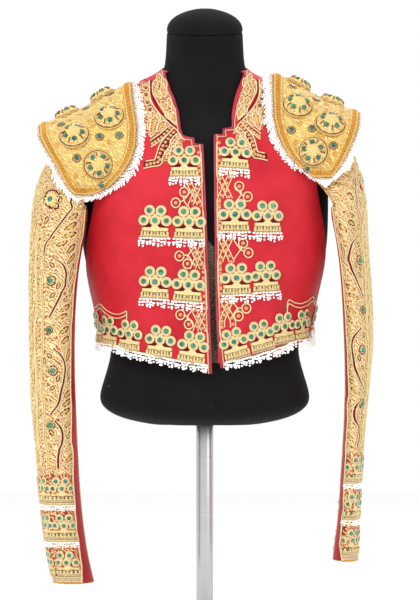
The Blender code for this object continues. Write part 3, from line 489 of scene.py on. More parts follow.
def weld_copy(node: str, name: str) -> bpy.types.Object:
    """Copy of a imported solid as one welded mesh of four-sided faces with sharp rims.

    Args:
        node: the CAD node.
        name: name of the copy.

    Returns:
        The copy.
    """
    thing = bpy.data.objects.new(name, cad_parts[node].data.copy())
    bpy.context.scene.collection.objects.link(thing)
    only(thing)
    bpy.ops.mesh.customdata_custom_splitnormals_clear()
    with edit_mode():
        bpy.ops.mesh.remove_doubles(threshold=0.00003)
        bpy.ops.mesh.tris_convert_to_quads(face_threshold=math.radians(35), shape_threshold=math.radians(60))
        bpy.ops.mesh.select_all(action="DESELECT")
        bpy.ops.mesh.select_mode(type="EDGE")
        bpy.ops.mesh.edges_select_sharp(sharpness=math.radians(55))
        bpy.ops.transform.edge_crease(value=1.0)
    return thing


def apply_all(thing: bpy.types.Object) -> None:
    """Applies every modifier of an object."""
    only(thing)
    for modifier in list(thing.modifiers):
        bpy.ops.object.modifier_apply(modifier=modifier.name)


def rounded(thing: bpy.types.Object, levels: int) -> bpy.types.Object:
    """Rounds a mesh by subdivision and shades it smooth up to sharp rims."""
    smooth = thing.modifiers.new("rounding", "SUBSURF")
    smooth.levels = levels
    smooth.render_levels = levels
    apply_all(thing)
    bpy.ops.object.shade_smooth_by_angle(angle=math.radians(50))
    return thing


def push(thing: bpy.types.Object, way: Callable[[np.ndarray], np.ndarray]) -> None:
    """Moves every vertex by what a function gives for all of them."""
    mesh = thing.data
    points = np.zeros(len(mesh.vertices) * 3)
    mesh.vertices.foreach_get("co", points)
    points = points.reshape(-1, 3)
    mesh.vertices.foreach_set("co", (points + way(points)).ravel())
    mesh.update()


def tree_of(things: Iterable[bpy.types.Object]) -> BVHTree:
    """Search tree over the faces of several objects."""
    points: list = []
    faces: list = []
    for thing in things:
        base = len(points)
        points.extend(vertex.co.copy() for vertex in thing.data.vertices)
        faces.extend([base + index for index in polygon.vertices] for polygon in thing.data.polygons)
    return BVHTree.FromPolygons(points, faces)


class Lay:
    """Flat sheet of places laid on a surface, so that needlework can be drawn flat and then worn.

    Columns and rows are even steps in millimetres; places between them are joined smoothly.
    """

    def __init__(self, points: np.ndarray, out: np.ndarray, first: Point, step: Point) -> None:
        """Keeps the grid.

        Args:
            points: places, rows by columns by three, in metres.
            out: direction straight out of the surface at each.
            first: column and row value of the first place.
            step: column and row step.
        """
        self.points = points
        self.out = out
        self.first = first
        self.step = step

    @classmethod
    def sampled(cls, sample: Callable, columns: np.ndarray, rows: np.ndarray) -> "Lay":
        """Lay from a function that gives a place for a column and a row value, or None.

        Args:
            sample: the function.
            columns: evenly spaced column values.
            rows: evenly spaced row values.

        Returns:
            The lay.
        """
        grid = np.full((len(rows), len(columns), 3), np.nan)
        for i, row in enumerate(rows):
            for j, column in enumerate(columns):
                spot = sample(column, row)
                if spot is not None:
                    grid[i, j] = spot
        return cls.filled(grid, columns, rows)

    @classmethod
    def filled(cls, grid: np.ndarray, columns: np.ndarray, rows: np.ndarray) -> "Lay":
        """Lay from a grid whose missing places take the nearest one in their row or column."""
        for line in list(grid) + [grid[:, j] for j in range(grid.shape[1])]:
            good = np.where(~np.isnan(line[:, 0]))[0]
            if len(good) == 0 or len(good) == len(line):
                continue
            for k in range(len(line)):
                if np.isnan(line[k, 0]):
                    low, high = good[good < k], good[good > k]
                    if len(low) and len(high):
                        share = (k - low[-1]) / (high[0] - low[-1])
                        line[k] = line[low[-1]] * (1 - share) + line[high[0]] * share
                    elif len(low) > 1:
                        line[k] = line[low[-1]] + (line[low[-1]] - line[low[-2]]) * (k - low[-1])
                    elif len(high) > 1:
                        line[k] = line[high[0]] + (line[high[0]] - line[high[1]]) * (high[0] - k)
        across = np.gradient(grid, axis=1)
        up = np.gradient(grid, axis=0)
        out = np.cross(across, up)
        out /= np.linalg.norm(out, axis=2, keepdims=True) + 1e-12
        return cls(grid, out, (columns[0], rows[0]), (columns[1] - columns[0], rows[1] - rows[0]))

    def wear(self, columns: Sequence[float], rows: Sequence[float],
             lift: Sequence[float] | float) -> np.ndarray:
        """Places on the surface, moved straight out.

        Args:
            columns: column values in millimetres.
            rows: row values in millimetres.
            lift: height over the surface in millimetres.

        Returns:
            One point a row, in metres.
        """
        points, out = self.blend(columns, rows)
        return points + out * (np.broadcast_to(np.asarray(lift, float), (len(points),))[:, None] * MM)

    def along(self, path: Iterable[Point], lift: float, shift: float = 0.0) -> np.ndarray:
        """Places of a path on the surface, the path shifted across by some millimetres."""
        places = list(path)
        return self.wear([a + shift for a, _ in places], [b for _, b in places], lift)

    def blend(self, columns: Sequence[float], rows: Sequence[float]) -> tuple[np.ndarray, np.ndarray]:
        """Points and outward directions between the places of the grid."""
        height, width = self.points.shape[:2]
        c = np.clip((np.asarray(columns, float) - self.first[0]) / self.step[0], 0, width - 1.001)
        r = np.clip((np.asarray(rows, float) - self.first[1]) / self.step[1], 0, height - 1.001)
        j, i = c.astype(int), r.astype(int)
        u, v = (c - j)[:, None], (r - i)[:, None]
        found = []
        for grid in (self.points, self.out):
            found.append(grid[i, j] * (1 - u) * (1 - v) + grid[i, j + 1] * u * (1 - v)
                         + grid[i + 1, j] * (1 - u) * v + grid[i + 1, j + 1] * u * v)
        out = found[1] / (np.linalg.norm(found[1], axis=1, keepdims=True) + 1e-12)
        return found[0], out

    def pose(self, column: float, row: float, turn: float = 0.0, lift: float = 0.0) -> Matrix:
        """Matrix that stands a motif on the surface, its Z straight out and its Y up the rows."""
        points, out = self.blend([column, column + 0.5], [row, row])
        above, _ = self.blend([column], [row + 0.5])
        normal = Vector(out[0])
        up = Vector(above[0] - points[0])
        up = (up - normal * up.dot(normal)).normalized()
        side = up.cross(normal)
        basis = Matrix((side, up, normal)).transposed().to_4x4()
        place = Matrix.Translation(Vector(points[0]) + normal * lift * MM)
        return place @ basis @ Matrix.Rotation(turn, 4, "Z")

    def column_at(self, axis: int, value: float, row: float, span: Point) -> float:
        """Column in a span at which a row reaches a coordinate, in millimetres."""
        columns = np.linspace(span[0], span[1], 240)
        points, _ = self.blend(columns, np.full(240, row))
        return float(columns[np.argmin(np.abs(points[:, axis] - value * MM))])


class Patch:
    """A turned and scaled corner of a lay, on which a motif is drawn in its own millimetres."""

    def __init__(self, lay: Lay, column: float, row: float, turn: float = 0.0, scale: float = 1.0) -> None:
        """Keeps the lay, the motif's middle, its turn in radians and its scale."""
        self.lay = lay
        self.column = column
        self.row = row
        self.cos = math.cos(turn) * scale
        self.sin = math.sin(turn) * scale
        self.turn = turn
        self.scale = scale

    def spot(self, a: float, b: float) -> Point:
        """Column and row of a place on the motif."""
        return self.column + a * self.cos - b * self.sin, self.row + a * self.sin + b * self.cos

    def wear(self, path: Sequence[Point], lift: Sequence[float] | float) -> np.ndarray:
        """Points of a path on the surface."""
        return self.lay.along([self.spot(a, b) for a, b in path], lift)

    def pose(self, a: float, b: float, lift: float = 0.0, turn: float = 0.0) -> Matrix:
        """Matrix for a motif that stands on the patch."""
        column, row = self.spot(a, b)
        return self.lay.pose(column, row, self.turn + turn, lift) @ Matrix.Scale(self.scale, 4)


def smooth_path(path: Sequence[Point], step: float = 2.0) -> list[Point]:
    """Flowing line through the given places, with points about a step apart."""
    knots = np.array(path, float)
    if len(knots) < 3:
        count = max(2, int(np.linalg.norm(knots[-1] - knots[0]) / step) + 1)
        return [tuple(knots[0] + (knots[-1] - knots[0]) * k / (count - 1)) for k in range(count)]
    padded = np.vstack((2 * knots[0] - knots[1], knots, 2 * knots[-1] - knots[-2]))
    found: list[Point] = []
    for k in range(1, len(padded) - 2):
        p0, p1, p2, p3 = padded[k - 1:k + 3]
        count = max(2, int(np.linalg.norm(p2 - p1) / step) + 1)
        for share in np.linspace(0, 1, count, endpoint=False):
            bend = (2 * p0 - 5 * p1 + 4 * p2 - p3) * share ** 2
            found.append(tuple(0.5 * (2 * p1 + (p2 - p0) * share + bend
                                      + (3 * p1 - p0 - 3 * p2 + p3) * share ** 3)))
    found.append(tuple(knots[-1]))
    return found


def ring_path(a: float, b: float, radius: float, count: int = 14, tall: float = 1.0) -> list[Point]:
    """Closed round path."""
    turns = [2 * math.pi * k / count for k in range(count + 1)]
    return [(a + radius * math.cos(turn), b + tall * radius * math.sin(turn)) for turn in turns]


def curl_path(radius: float, turns: float, start: float, hand: int = 1, count: int = 12) -> list[Point]:
    """Path that winds in from its outer end to its middle."""
    path = []
    for k in range(count + 1):
        share = k / count
        reach = radius * (1.0 - 0.85 * share)
        angle = start + hand * 2 * math.pi * turns * share
        path.append((reach * math.cos(angle), reach * math.sin(angle)))
    return path


# Motifs that are modelled once and copied


class Motif:
    """Mesh that is modelled once and then copied wherever needlework calls for it."""

    def __init__(self, thing: bpy.types.Object) -> None:
        """Takes the mesh of a finished object and removes the object."""
        mesh = thing.data
        points = np.zeros(len(mesh.vertices) * 3)
        mesh.vertices.foreach_get("co", points)
        self.points = points.reshape(-1, 3)
        self.faces = [tuple(polygon.vertices) for polygon in mesh.polygons]
        bpy.data.objects.remove(thing)


def added(kind: str, **values: object) -> bpy.types.Object:
    """Adds a primitive of Blender's, such as a cylinder, with nothing left to apply.

    Args:
        kind: last part of the operator's name, without _add.
        **values: the operator's own values.

    Returns:
        The new object.
    """
    bpy.ops.object.select_all(action="DESELECT")
    getattr(bpy.ops.mesh, f"primitive_{kind}_add")(**values)
    thing = bpy.context.object
    bpy.ops.object.transform_apply(location=True, rotation=True, scale=True)
    return thing


def stretched(x: float, y: float, z: float) -> None:
    """Scales what is selected about the origin."""
    bpy.ops.transform.resize(value=(x, y, z), center_override=(0.0, 0.0, 0.0))


def flat_cut(height: float) -> None:
    """Cuts away what is below a height and closes the cut, with everything selected before and after."""
    bpy.ops.mesh.bisect(plane_co=(0.0, 0.0, height), plane_no=(0.0, 0.0, 1.0), clear_inner=True,
                        use_fill=True)
    bpy.ops.mesh.select_all(action="SELECT")


def model_bead() -> Motif:
    """Glass bead, radius about one."""
    thing = added("ico_sphere", subdivisions=1, radius=1.0)
    with edit_mode():
        stretched(0.95, 0.95, 1.1)
    return Motif(thing)


def model_stud() -> Motif:
    """Low round stud, radius one, flat underneath."""
    thing = added("uv_sphere", segments=10, ring_count=6, radius=1.0)
    with edit_mode():
        flat_cut(-0.15)
        stretched(1.0, 1.0, 0.75)
    return Motif(thing)


def model_ring(major: float, minor: float, around: int, section: int) -> Motif:
    """Closed ring of cord."""
    thing = added("torus", major_radius=major, minor_radius=minor, major_segments=around,
                  minor_segments=section)
    with edit_mode():
        stretched(1.0, 1.0, 0.85)
    return Motif(thing)


def inset_top(thing: bpy.types.Object, steps: Sequence[Point]) -> Motif:
    """Motif of a solid whose top is drawn in, by steps of thickness and rise."""
    for polygon in thing.data.polygons:
        polygon.select = polygon.normal.z > 0.9
    bpy.ops.object.mode_set(mode="EDIT")
    for thickness, rise in steps:
        bpy.ops.mesh.inset(thickness=thickness, depth=rise)
    bpy.ops.object.mode_set(mode="OBJECT")
    return Motif(thing)


def model_button(radius: float, height: float) -> Motif:
    """Domed disc with a step round its rim, as the padding of a sequin rosette."""
    thing = added("cylinder", vertices=12, radius=radius, depth=height, location=(0, 0, height / 2))
    bpy.ops.object.mode_set(mode="EDIT")
    bpy.ops.mesh.select_all(action="DESELECT")
    bpy.ops.object.mode_set(mode="OBJECT")
    return inset_top(thing, ((radius * 0.22, height * 0.35), (radius * 0.3, height * 0.3)))


def model_stone(radius: float, height: float) -> Motif:
    """Faceted stone with a flat table."""
    thing = added("cylinder", vertices=8, radius=radius, depth=height * 0.45, location=(0, 0, height * 0.22))
    return inset_top(thing, ((radius * 0.4, height * 0.55),))


def model_dome(radius: float, height: float, lobes: int) -> Motif:
    """Padded dome worked in lobes, like a melon, open to its base."""
    thing = added("uv_sphere", segments=lobes * 4, ring_count=18, radius=1.0)
    with edit_mode():
        flat_cut(-0.2)
        stretched(radius, radius, height)

    def lobe(points: np.ndarray) -> np.ndarray:
        """Draws the dome in between its lobes."""
        angle = np.arctan2(points[:, 1], points[:, 0])
        reach = np.hypot(points[:, 0], points[:, 1]) / radius
        depth = 0.11 * np.abs(np.sin(angle * lobes / 2)) ** 0.6 - 0.09
        depth = depth * np.clip(reach * 2.2, 0, 1)
        return points * depth[:, None]

    push(thing, lobe)
    return Motif(thing)


FRINGE_BEAD = 1.7
BEAD = model_bead()
STUD = model_stud()
DISC_RING = model_ring(6.3 * MM, 1.05 * MM, 16, 4)
STONE_RING = model_ring(3.0 * MM, 0.6 * MM, 11, 4)
DISC_BUTTON = model_button(6.0 * MM, 1.3 * MM)
STONE = model_stone(2.6 * MM, 2.0 * MM)


class Workbox:
    """Needlework of one part of the jacket, gathered by finish and then made as a few pieces."""

    def __init__(self, name: str, slot: str = "gold_trim") -> None:
        """Starts an empty box under a name and a slot name, kept for its pieces."""
        self.name = name
        self.slot = slot
        self.cords: dict[tuple[str, bool], list] = {}
        self.copies: dict[str, list] = {}
        self.finishes: dict[str, Finish] = {}
        self.made: list[bpy.types.Object] = []

    def cord(self, points: np.ndarray, radius: float, finish: Finish, fine: bool = False) -> None:
        """Adds a cord.

        Args:
            points: its places in metres.
            radius: its radius in millimetres.
            finish: its finish.
            fine: whether it is one of many small ones, with a plainer section.
        """
        self.finishes[finish.name] = finish
        self.cords.setdefault((finish.name, fine), []).append((np.asarray(points), radius))

    def copy(self, motif: Motif, pose: Matrix, finish: Finish) -> None:
        """Adds a copy of a motif."""
        self.finishes[finish.name] = finish
        moved = motif.points @ np.array(pose.to_3x3()).T + np.array(pose.translation)
        self.copies.setdefault(finish.name, []).append((moved, motif.faces))

    def scaled(self, motif: Motif, pose: Matrix, radius: float, finish: Finish) -> None:
        """Adds a copy of a bead or a stud with its radius in millimetres."""
        self.copy(motif, pose @ Matrix.Scale(radius * MM, 4), finish)

    def solid(self, points: np.ndarray, faces: Sequence[Sequence[int]], finish: Finish) -> None:
        """Adds a closed form of its own."""
        self.finishes[finish.name] = finish
        self.copies.setdefault(finish.name, []).append((np.asarray(points), faces))

    def rings(self, rings: Sequence[np.ndarray], finish: Finish) -> None:
        """Adds a closed form through rings of points, with a flat end at each side."""
        count = len(rings[0])
        faces: list = []
        for i in range(len(rings) - 1):
            for j in range(count):
                k = (j + 1) % count
                faces.append((i * count + j, i * count + k, (i + 1) * count + k, (i + 1) * count + j))
        faces.append(tuple(reversed(range(count))))
        last = (len(rings) - 1) * count
        faces.append(tuple(range(last, last + count)))
        self.solid(np.vstack(rings), faces, finish)

    def panel(self, patch: Patch, left: Sequence[Point], right: Sequence[Point], rise: float,
              finish: Finish, columns: int = 8) -> None:
        """Adds a low padded ground between two lines of a patch.

        Args:
            patch: patch that the lines are drawn on.
            left: one border.
            right: the other border, with as many places.
            rise: height of the padding in millimetres.
            finish: its finish.
            columns: places across.
        """
        rings = []
        shares = [k / (columns - 1) for k in range(columns)]
        for (a, b), (c, d) in zip(left, right):
            line = [(a + (c - a) * t, b + (d - b) * t) for t in shares]
            lift = [rise * min(1.0, 0.35 + 4.0 * min(t, 1 - t)) for t in shares]
            rings.append(patch.wear(line + line[::-1], lift + [0.12] * columns))
        self.rings(rings, finish)

    def finish(self, replaces: Sequence[str] = ()) -> list[bpy.types.Object]:
        """Makes the pieces, each at the origin and riding on the jacket.

        Args:
            replaces: CAD nodes that are hidden, as the pieces take their place.

        Returns:
            The pieces.
        """
        for word, rows in self.copies.items():
            points = np.vstack([row[0] for row in rows])
            faces: list = []
            base = 0
            for moved, own in rows:
                faces.extend([tuple(index + base for index in face) for face in own])
                base += len(moved)
            thing = new_mesh(f"{self.name}_{word}", points, faces)
            only(thing)
            with edit_mode():
                bpy.ops.mesh.normals_make_consistent(inside=False)
            bpy.ops.object.shade_smooth_by_angle(angle=math.radians(48))
            self.made.append(dress(thing, self.finishes[word], self.slot))
        for (word, fine), rows in self.cords.items():
            title = f"{self.name}_{word}_{'thread' if fine else 'cord'}"
            curve = bpy.data.curves.new(title, "CURVE")
            curve.dimensions = "3D"
            curve.bevel_depth = MM
            curve.bevel_resolution = 0 if fine else 1
            curve.use_fill_caps = True
            for points, radius in rows:
                spline = curve.splines.new("POLY")
                spline.points.add(len(points) - 1)
                flat = np.hstack((points, np.ones((len(points), 1))))
                spline.points.foreach_set("co", flat.ravel())
                spline.points.foreach_set("radius", [radius] * len(points))
            thing = bpy.data.objects.new(title, curve)
            bpy.context.scene.collection.objects.link(thing)
            only(thing)
            bpy.ops.object.convert(target="MESH")
            thing = bpy.context.object
            bpy.ops.object.shade_smooth()
            self.made.append(dress(thing, self.finishes[word], self.slot))
        if replaces:
            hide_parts(*replaces)
        for thing in self.made:
            LOG.info("%s: %d faces", thing.name, len(thing.data.polygons))
        return self.made


def lay_leaf(box: Workbox, patch: Patch, length: float, width: float, rise: float, finish: Finish,
             edge: Finish | None = None, thick: float = 1.0) -> None:
    """Padded leaf that points up its patch; an edged one has a dark red sheet round its padding, the ground
    darkened with painted shade, and a cord round that padding.

    Args:
        box: workbox it goes to.
        patch: patch whose middle is the leaf's foot.
        length: length in millimetres.
        width: width in millimetres.
        rise: height of the padding.
        finish: finish of the padding.
        edge: finish of the cord round it, if it has one.
        thick: radius of that cord.
    """
    shares = (0.04, 0.3, 0.6, 0.84, 0.97)
    swell = (0.2, 0.75, 1.0, 0.8, 0.25)
    layers = [(1.0, 0.0, rise, finish)]
    if edge:
        # The dark red sheet under an edged leaf is painted shade round its padding.
        layers = [(0.92, 0.0, 0.35, DARK_RED), (0.44, 0.14, rise, finish)]
    for inner, cut, height, look in layers:
        rings = []
        for share, part in zip(shares, swell):
            half = width / 2 * part * inner
            along = length * (cut + (1.0 - 2 * cut) * share)
            path = [(-half, along), (0.0, along), (half, along), (half * 0.55, along), (0.0, along),
                    (-half * 0.55, along)]
            crown, shoulder = height * part, height * part * 0.85
            rings.append(patch.wear(path, [0.0, -0.2, 0.0, shoulder, crown, shoulder]))
        box.rings(rings, look)
    if edge:
        half = width / 2
        bulge = ((0.75, 0.3), (1.0, 0.62), (0.5, 0.93))
        outline = [(0.0, 0.0), *((-half * a, length * b) for a, b in bulge), (0.0, length),
                   *((half * a, length * b) for a, b in reversed(bulge)), (0.0, 0.0)]
        box.cord(patch.wear(smooth_path(outline, 4.5), thick * 0.6), thick, edge, True)


def leaf_between(box: Workbox, patch: Patch, foot: Point, tip: Point, width: float, rise: float = 1.3,
                 finish: Finish = BRIGHT_GOLD, edge: Finish | None = PALE_CORD) -> None:
    """Leaf from its foot to its tip, both places in millimetres on a lay."""
    across, up = tip[0] - foot[0], tip[1] - foot[1]
    turned = Patch(patch.lay, foot[0], foot[1], math.atan2(-across, up))
    lay_leaf(box, turned, math.hypot(across, up), width, rise, finish, edge)


def lay_disc(box: Workbox, patch: Patch, a: float, b: float, size: float = 1.0) -> None:
    """Sequin rosette: a gold button, a cord ring and a green stone in its own ring."""
    pose = patch.pose(a, b, 0.6) @ Matrix.Scale(size, 4)
    box.copy(DISC_BUTTON, pose, LIGHT_GOLD)
    box.copy(DISC_RING, pose @ Matrix.Translation((0, 0, 1.2 * MM)), PALE_CORD)
    box.copy(STONE_RING, pose @ Matrix.Translation((0, 0, 2.0 * MM)), BRIGHT_GOLD)
    box.copy(STONE, pose @ Matrix.Translation((0, 0, 1.5 * MM)), GREEN_STONE)


def lay_strand(box: Workbox, patch: Patch, a: float, b: float, length: float, lean: float, lift: float,
               size: float, finish: Finish, seed: int, loop: float = 1.3) -> None:
    """Loop of beads that hangs from a seam.

    Args:
        box: workbox it goes to.
        patch: patch it hangs on.
        a: place along the seam.
        b: height of the seam on the patch.
        length: how far the loop hangs.
        lean: sideways drift of its tip.
        lift: height over the cloth.
        size: radius of a bead.
        finish: finish of the beads.
        seed: number that sets its small irregularities.
        loop: half width of the loop.
    """
    count = max(3, int(length / (size * 1.35)))
    for k in range(count * 2 - 1):
        share = k / (count * 2 - 2)
        down = math.sin(math.pi * share)
        drop = length * (1.0 - abs(2 * share - 1.0) ** 1.15)
        across = loop * math.cos(math.pi * share) * (0.6 + 0.4 * down) + lean * down
        sway = 0.35 * math.sin(seed * 2.3 + k * 1.7)
        height = b - drop + 0.45 * math.sin(seed * 5.3 + k * 2.9)
        pose = patch.pose(a + across + sway, height, lift + 0.9 * down + 0.5 * math.sin(seed + k * 2.1))
        box.scaled(BEAD, pose, size, finish)


@dataclass
class StudioStage:
    """Pale floor, soft lights, near-white surroundings and the camera.

    Args:
        floor_reach: half width of the floor in metres.
        distance: distance from the camera to the middle of the jacket.
        frame_height: height that the picture shows at the jacket.
        middle: width and height of the picture's middle.
    """

    floor_reach: float = 4.0
    distance: float = 5.0
    frame_height: float = 0.81
    middle: Point = (0.0065, 0.4725)

    def build(self) -> None:
        """Builds the floor, the world, the lights and the camera."""
        floor = added("circle", vertices=96, radius=self.floor_reach, fill_type="NGON")
        floor.name = "floor"
        material = bpy.data.materials.new("pale_floor")
        material.use_nodes = True
        shader = material.node_tree.nodes["Principled BSDF"]
        shader.inputs["Base Color"].default_value = (0.93, 0.93, 0.93, 1.0)
        shader.inputs["Roughness"].default_value = 0.9
        floor.data.materials.append(material)
        scene = bpy.context.scene
        world = bpy.data.worlds.new("white_surroundings")
        world.use_nodes = True
        world.node_tree.nodes["Background"].inputs["Color"].default_value = (1.0, 1.0, 1.0, 1.0)
        world.node_tree.nodes["Background"].inputs["Strength"].default_value = 1.0
        scene.world = world
        scene.view_settings.view_transform = "Standard"
        self.light("key", (-1.5, -2.0, 2.6), 1.1, 30.0)
        self.light("fill", (2.2, -2.0, 1.2), 1.4, 9.0)
        self.light("top", (0.3, 1.4, 2.6), 1.6, 12.0)
        data = bpy.data.cameras.new("front_camera")
        data.sensor_fit = "VERTICAL"
        data.sensor_height = 24.0
        data.lens = 24.0 * self.distance / self.frame_height
        data.clip_end = 50.0
        camera = bpy.data.objects.new("front_camera", data)
        camera.location = (self.middle[0], -self.distance - 0.06, self.middle[1])
        camera.rotation_euler = (math.pi / 2, 0.0, 0.0)
        scene.collection.objects.link(camera)
        scene.camera = camera

    def light(self, name: str, place: tuple[float, float, float], size: float, power: float) -> None:
        """Adds a soft square light that faces the jacket."""
        data = bpy.data.lights.new(name, "AREA")
        data.shape = "SQUARE"
        data.size = size
        data.energy = power
        lamp = bpy.data.objects.new(name, data)
        lamp.location = place
        lamp.rotation_euler = (Vector((0.0, 0.0, 0.5)) - Vector(place)).to_track_quat("-Z", "Y").to_euler()
        bpy.context.scene.collection.objects.link(lamp)


@dataclass
class FormStand:
    """Dress form with its neck cap, pole and base.

    Args:
        levels: rounding of the padded parts.
    """

    levels: int = 2

    def build(self) -> None:
        """Rounds the padded form and its cap, and finishes the metal."""
        for node in ("dress_form", "neck_cap"):
            thing = rounded(weld_copy(node, "padded_" + node), self.levels)
            dress(thing, BLACK_JERSEY, "black_jersey")
            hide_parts(node)
            LOG.info("%s: %d faces", thing.name, len(thing.data.polygons))
        self.pole()
        dress(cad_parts["base"], BRUSHED_STEEL)

    def pole(self) -> None:
        """Turns the pole as a smooth tube with a collar at its foot."""
        low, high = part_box("pole")
        thing = added("cylinder", vertices=48, radius=(high.x - low.x) / 2, depth=high.z - low.z,
                      location=(0.0, 0.0, (high.z + low.z) / 2), end_fill_type="NGON")
        thing.name = "steel_pole"
        with edit_mode("DESELECT"):
            bpy.ops.mesh.select_mode(type="EDGE")
            bpy.ops.mesh.edges_select_sharp(sharpness=math.radians(60))
            bpy.ops.mesh.bevel(offset=0.6 * MM, segments=2)
        bpy.ops.object.shade_smooth_by_angle(angle=math.radians(40))
        dress(thing, BRUSHED_STEEL, "brushed_steel")
        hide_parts("pole")


def seen_from_front(tree: BVHTree, reach: float) -> Callable[[float, float], Vector | None]:
    """Function from width and height to the place that a level line from the front meets first."""
    def sample(column: float, row: float) -> Vector | None:
        """Place for a width and a height in millimetres."""
        return tree.ray_cast(Vector((column * MM, -0.5, row * MM)), Vector((0.0, 1.0, 0.0)), reach)[0]

    return sample


def soft_folds(points: np.ndarray) -> np.ndarray:
    """Shallow creases of the satin body: wide waves with a few narrow folds at the sides.

    Args:
        points: places in metres, one a row.

    Returns:
        The move of each place, in metres.
    """
    moves = np.zeros_like(points)
    for index, (x, y, z) in enumerate(points):
        slow = noise.noise(Vector((x * 9.0, y * 9.0, z * 5.0)))
        fold = noise.noise(Vector((x * 26.0 + z * 14.0, y * 20.0, z * 10.0)))
        reach = 0.9 * slow + 0.5 * (1.0 - 2.0 * abs(fold)) * min(1.0, max(0.0, (0.70 - z) * 12.0))
        length = math.hypot(x, y) or 1.0
        moves[index] = (x / length * reach * MM, y / length * reach * MM, 0.0)
    return moves


@dataclass
class SatinBody:
    """Fronts, back and collar of red satin.

    Args:
        flats: width, length and area of each panel's cut, in metres.
        shells: the finished panels by name.
    """

    flats: dict[str, tuple[float, float, float]] = field(default_factory=lambda: {
        "front_right": (0.27, 0.42, 0.067), "front_left": (0.25, 0.42, 0.062),
        "back_right": (0.27, 0.38, 0.068), "back_left": (0.27, 0.38, 0.068), "collar": (0.36, 0.06, 0.0116)})
    shells: dict[str, bpy.types.Object] = field(default_factory=dict)

    def build(self) -> None:
        for node in self.flats:
            thing = rounded(weld_copy(node, "satin_" + node), 2)
            push(thing, soft_folds)
            dress(thing, RED_SATIN, "red_satin")
            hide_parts(node)
            self.shells[node] = thing
            LOG.info("%s: %d faces", thing.name, len(thing.data.polygons))

    def declare(self) -> None:
        """Does nothing; the cut sizes are not stated."""

    def front_lay(self) -> Lay:
        """Lay of width and height over both fronts and the collar, as seen from the front."""
        tree = tree_of([self.shells[node] for node in ("front_right", "front_left", "collar")])
        columns, rows = np.arange(-150.0, 151.0, 2.5), np.arange(370.0, 812.0, 3.0)
        return Lay.sampled(seen_from_front(tree, 0.55), columns, rows)

    def round_lay(self, start: float) -> Lay:
        """Lay of arc and height round the body.

        Args:
            start: turn in radians at which the arc is nought, from the front towards +X.

        Returns:
            The lay, its arc running the way the turn does.
        """
        tree = tree_of([shell for node, shell in self.shells.items() if node != "collar"])
        rows = np.arange(372.0, 772.0, 8.0)
        turns = np.radians(np.arange(-178.0, 179.0, 2.0))
        grid = np.full((len(rows), len(turns), 3), np.nan)
        for i, row in enumerate(rows):
            for j, turn in enumerate(turns):
                way = Vector((math.sin(start + turn), -math.cos(start + turn), 0.0))
                hit = tree.ray_cast(Vector((0, 0, row * MM)) + way * 0.4, -way, 0.34)
                if hit[0] is not None:
                    grid[i, j] = hit[0]
        for j in range(len(turns)):
            held = np.where(~np.isnan(grid[:, j, 0]))[0]
            if len(held):
                grid[:held[0], j] = grid[held[0], j]
        solid = Lay.filled(grid, turns, rows).points
        solid[:, :, 2] = rows[:, None] * MM
        return even_arcs(solid, rows, len(turns) // 2, 3.0, 440.0)


def even_arcs(grid: np.ndarray, rows: np.ndarray, middle: int, step: float, reach: float) -> Lay:
    """Lay whose columns are even steps of arc to both sides of a middle column.

    Args:
        grid: places, rows by columns.
        rows: row values.
        middle: column at which the arc is nought.
        step: arc step in millimetres.
        reach: arc to each side.

    Returns:
        The lay.
    """
    columns = np.arange(-reach, reach + 0.1, step)
    even = np.zeros((len(rows), len(columns), 3))
    for i in range(len(rows)):
        lengths = np.linalg.norm(np.diff(grid[i], axis=0), axis=1) / MM
        arc = np.concatenate(([0.0], np.cumsum(lengths)))
        arc -= arc[middle]
        for axis in range(3):
            even[i, :, axis] = np.interp(columns, arc, grid[i, :, axis])
    return Lay.filled(even, columns, rows)


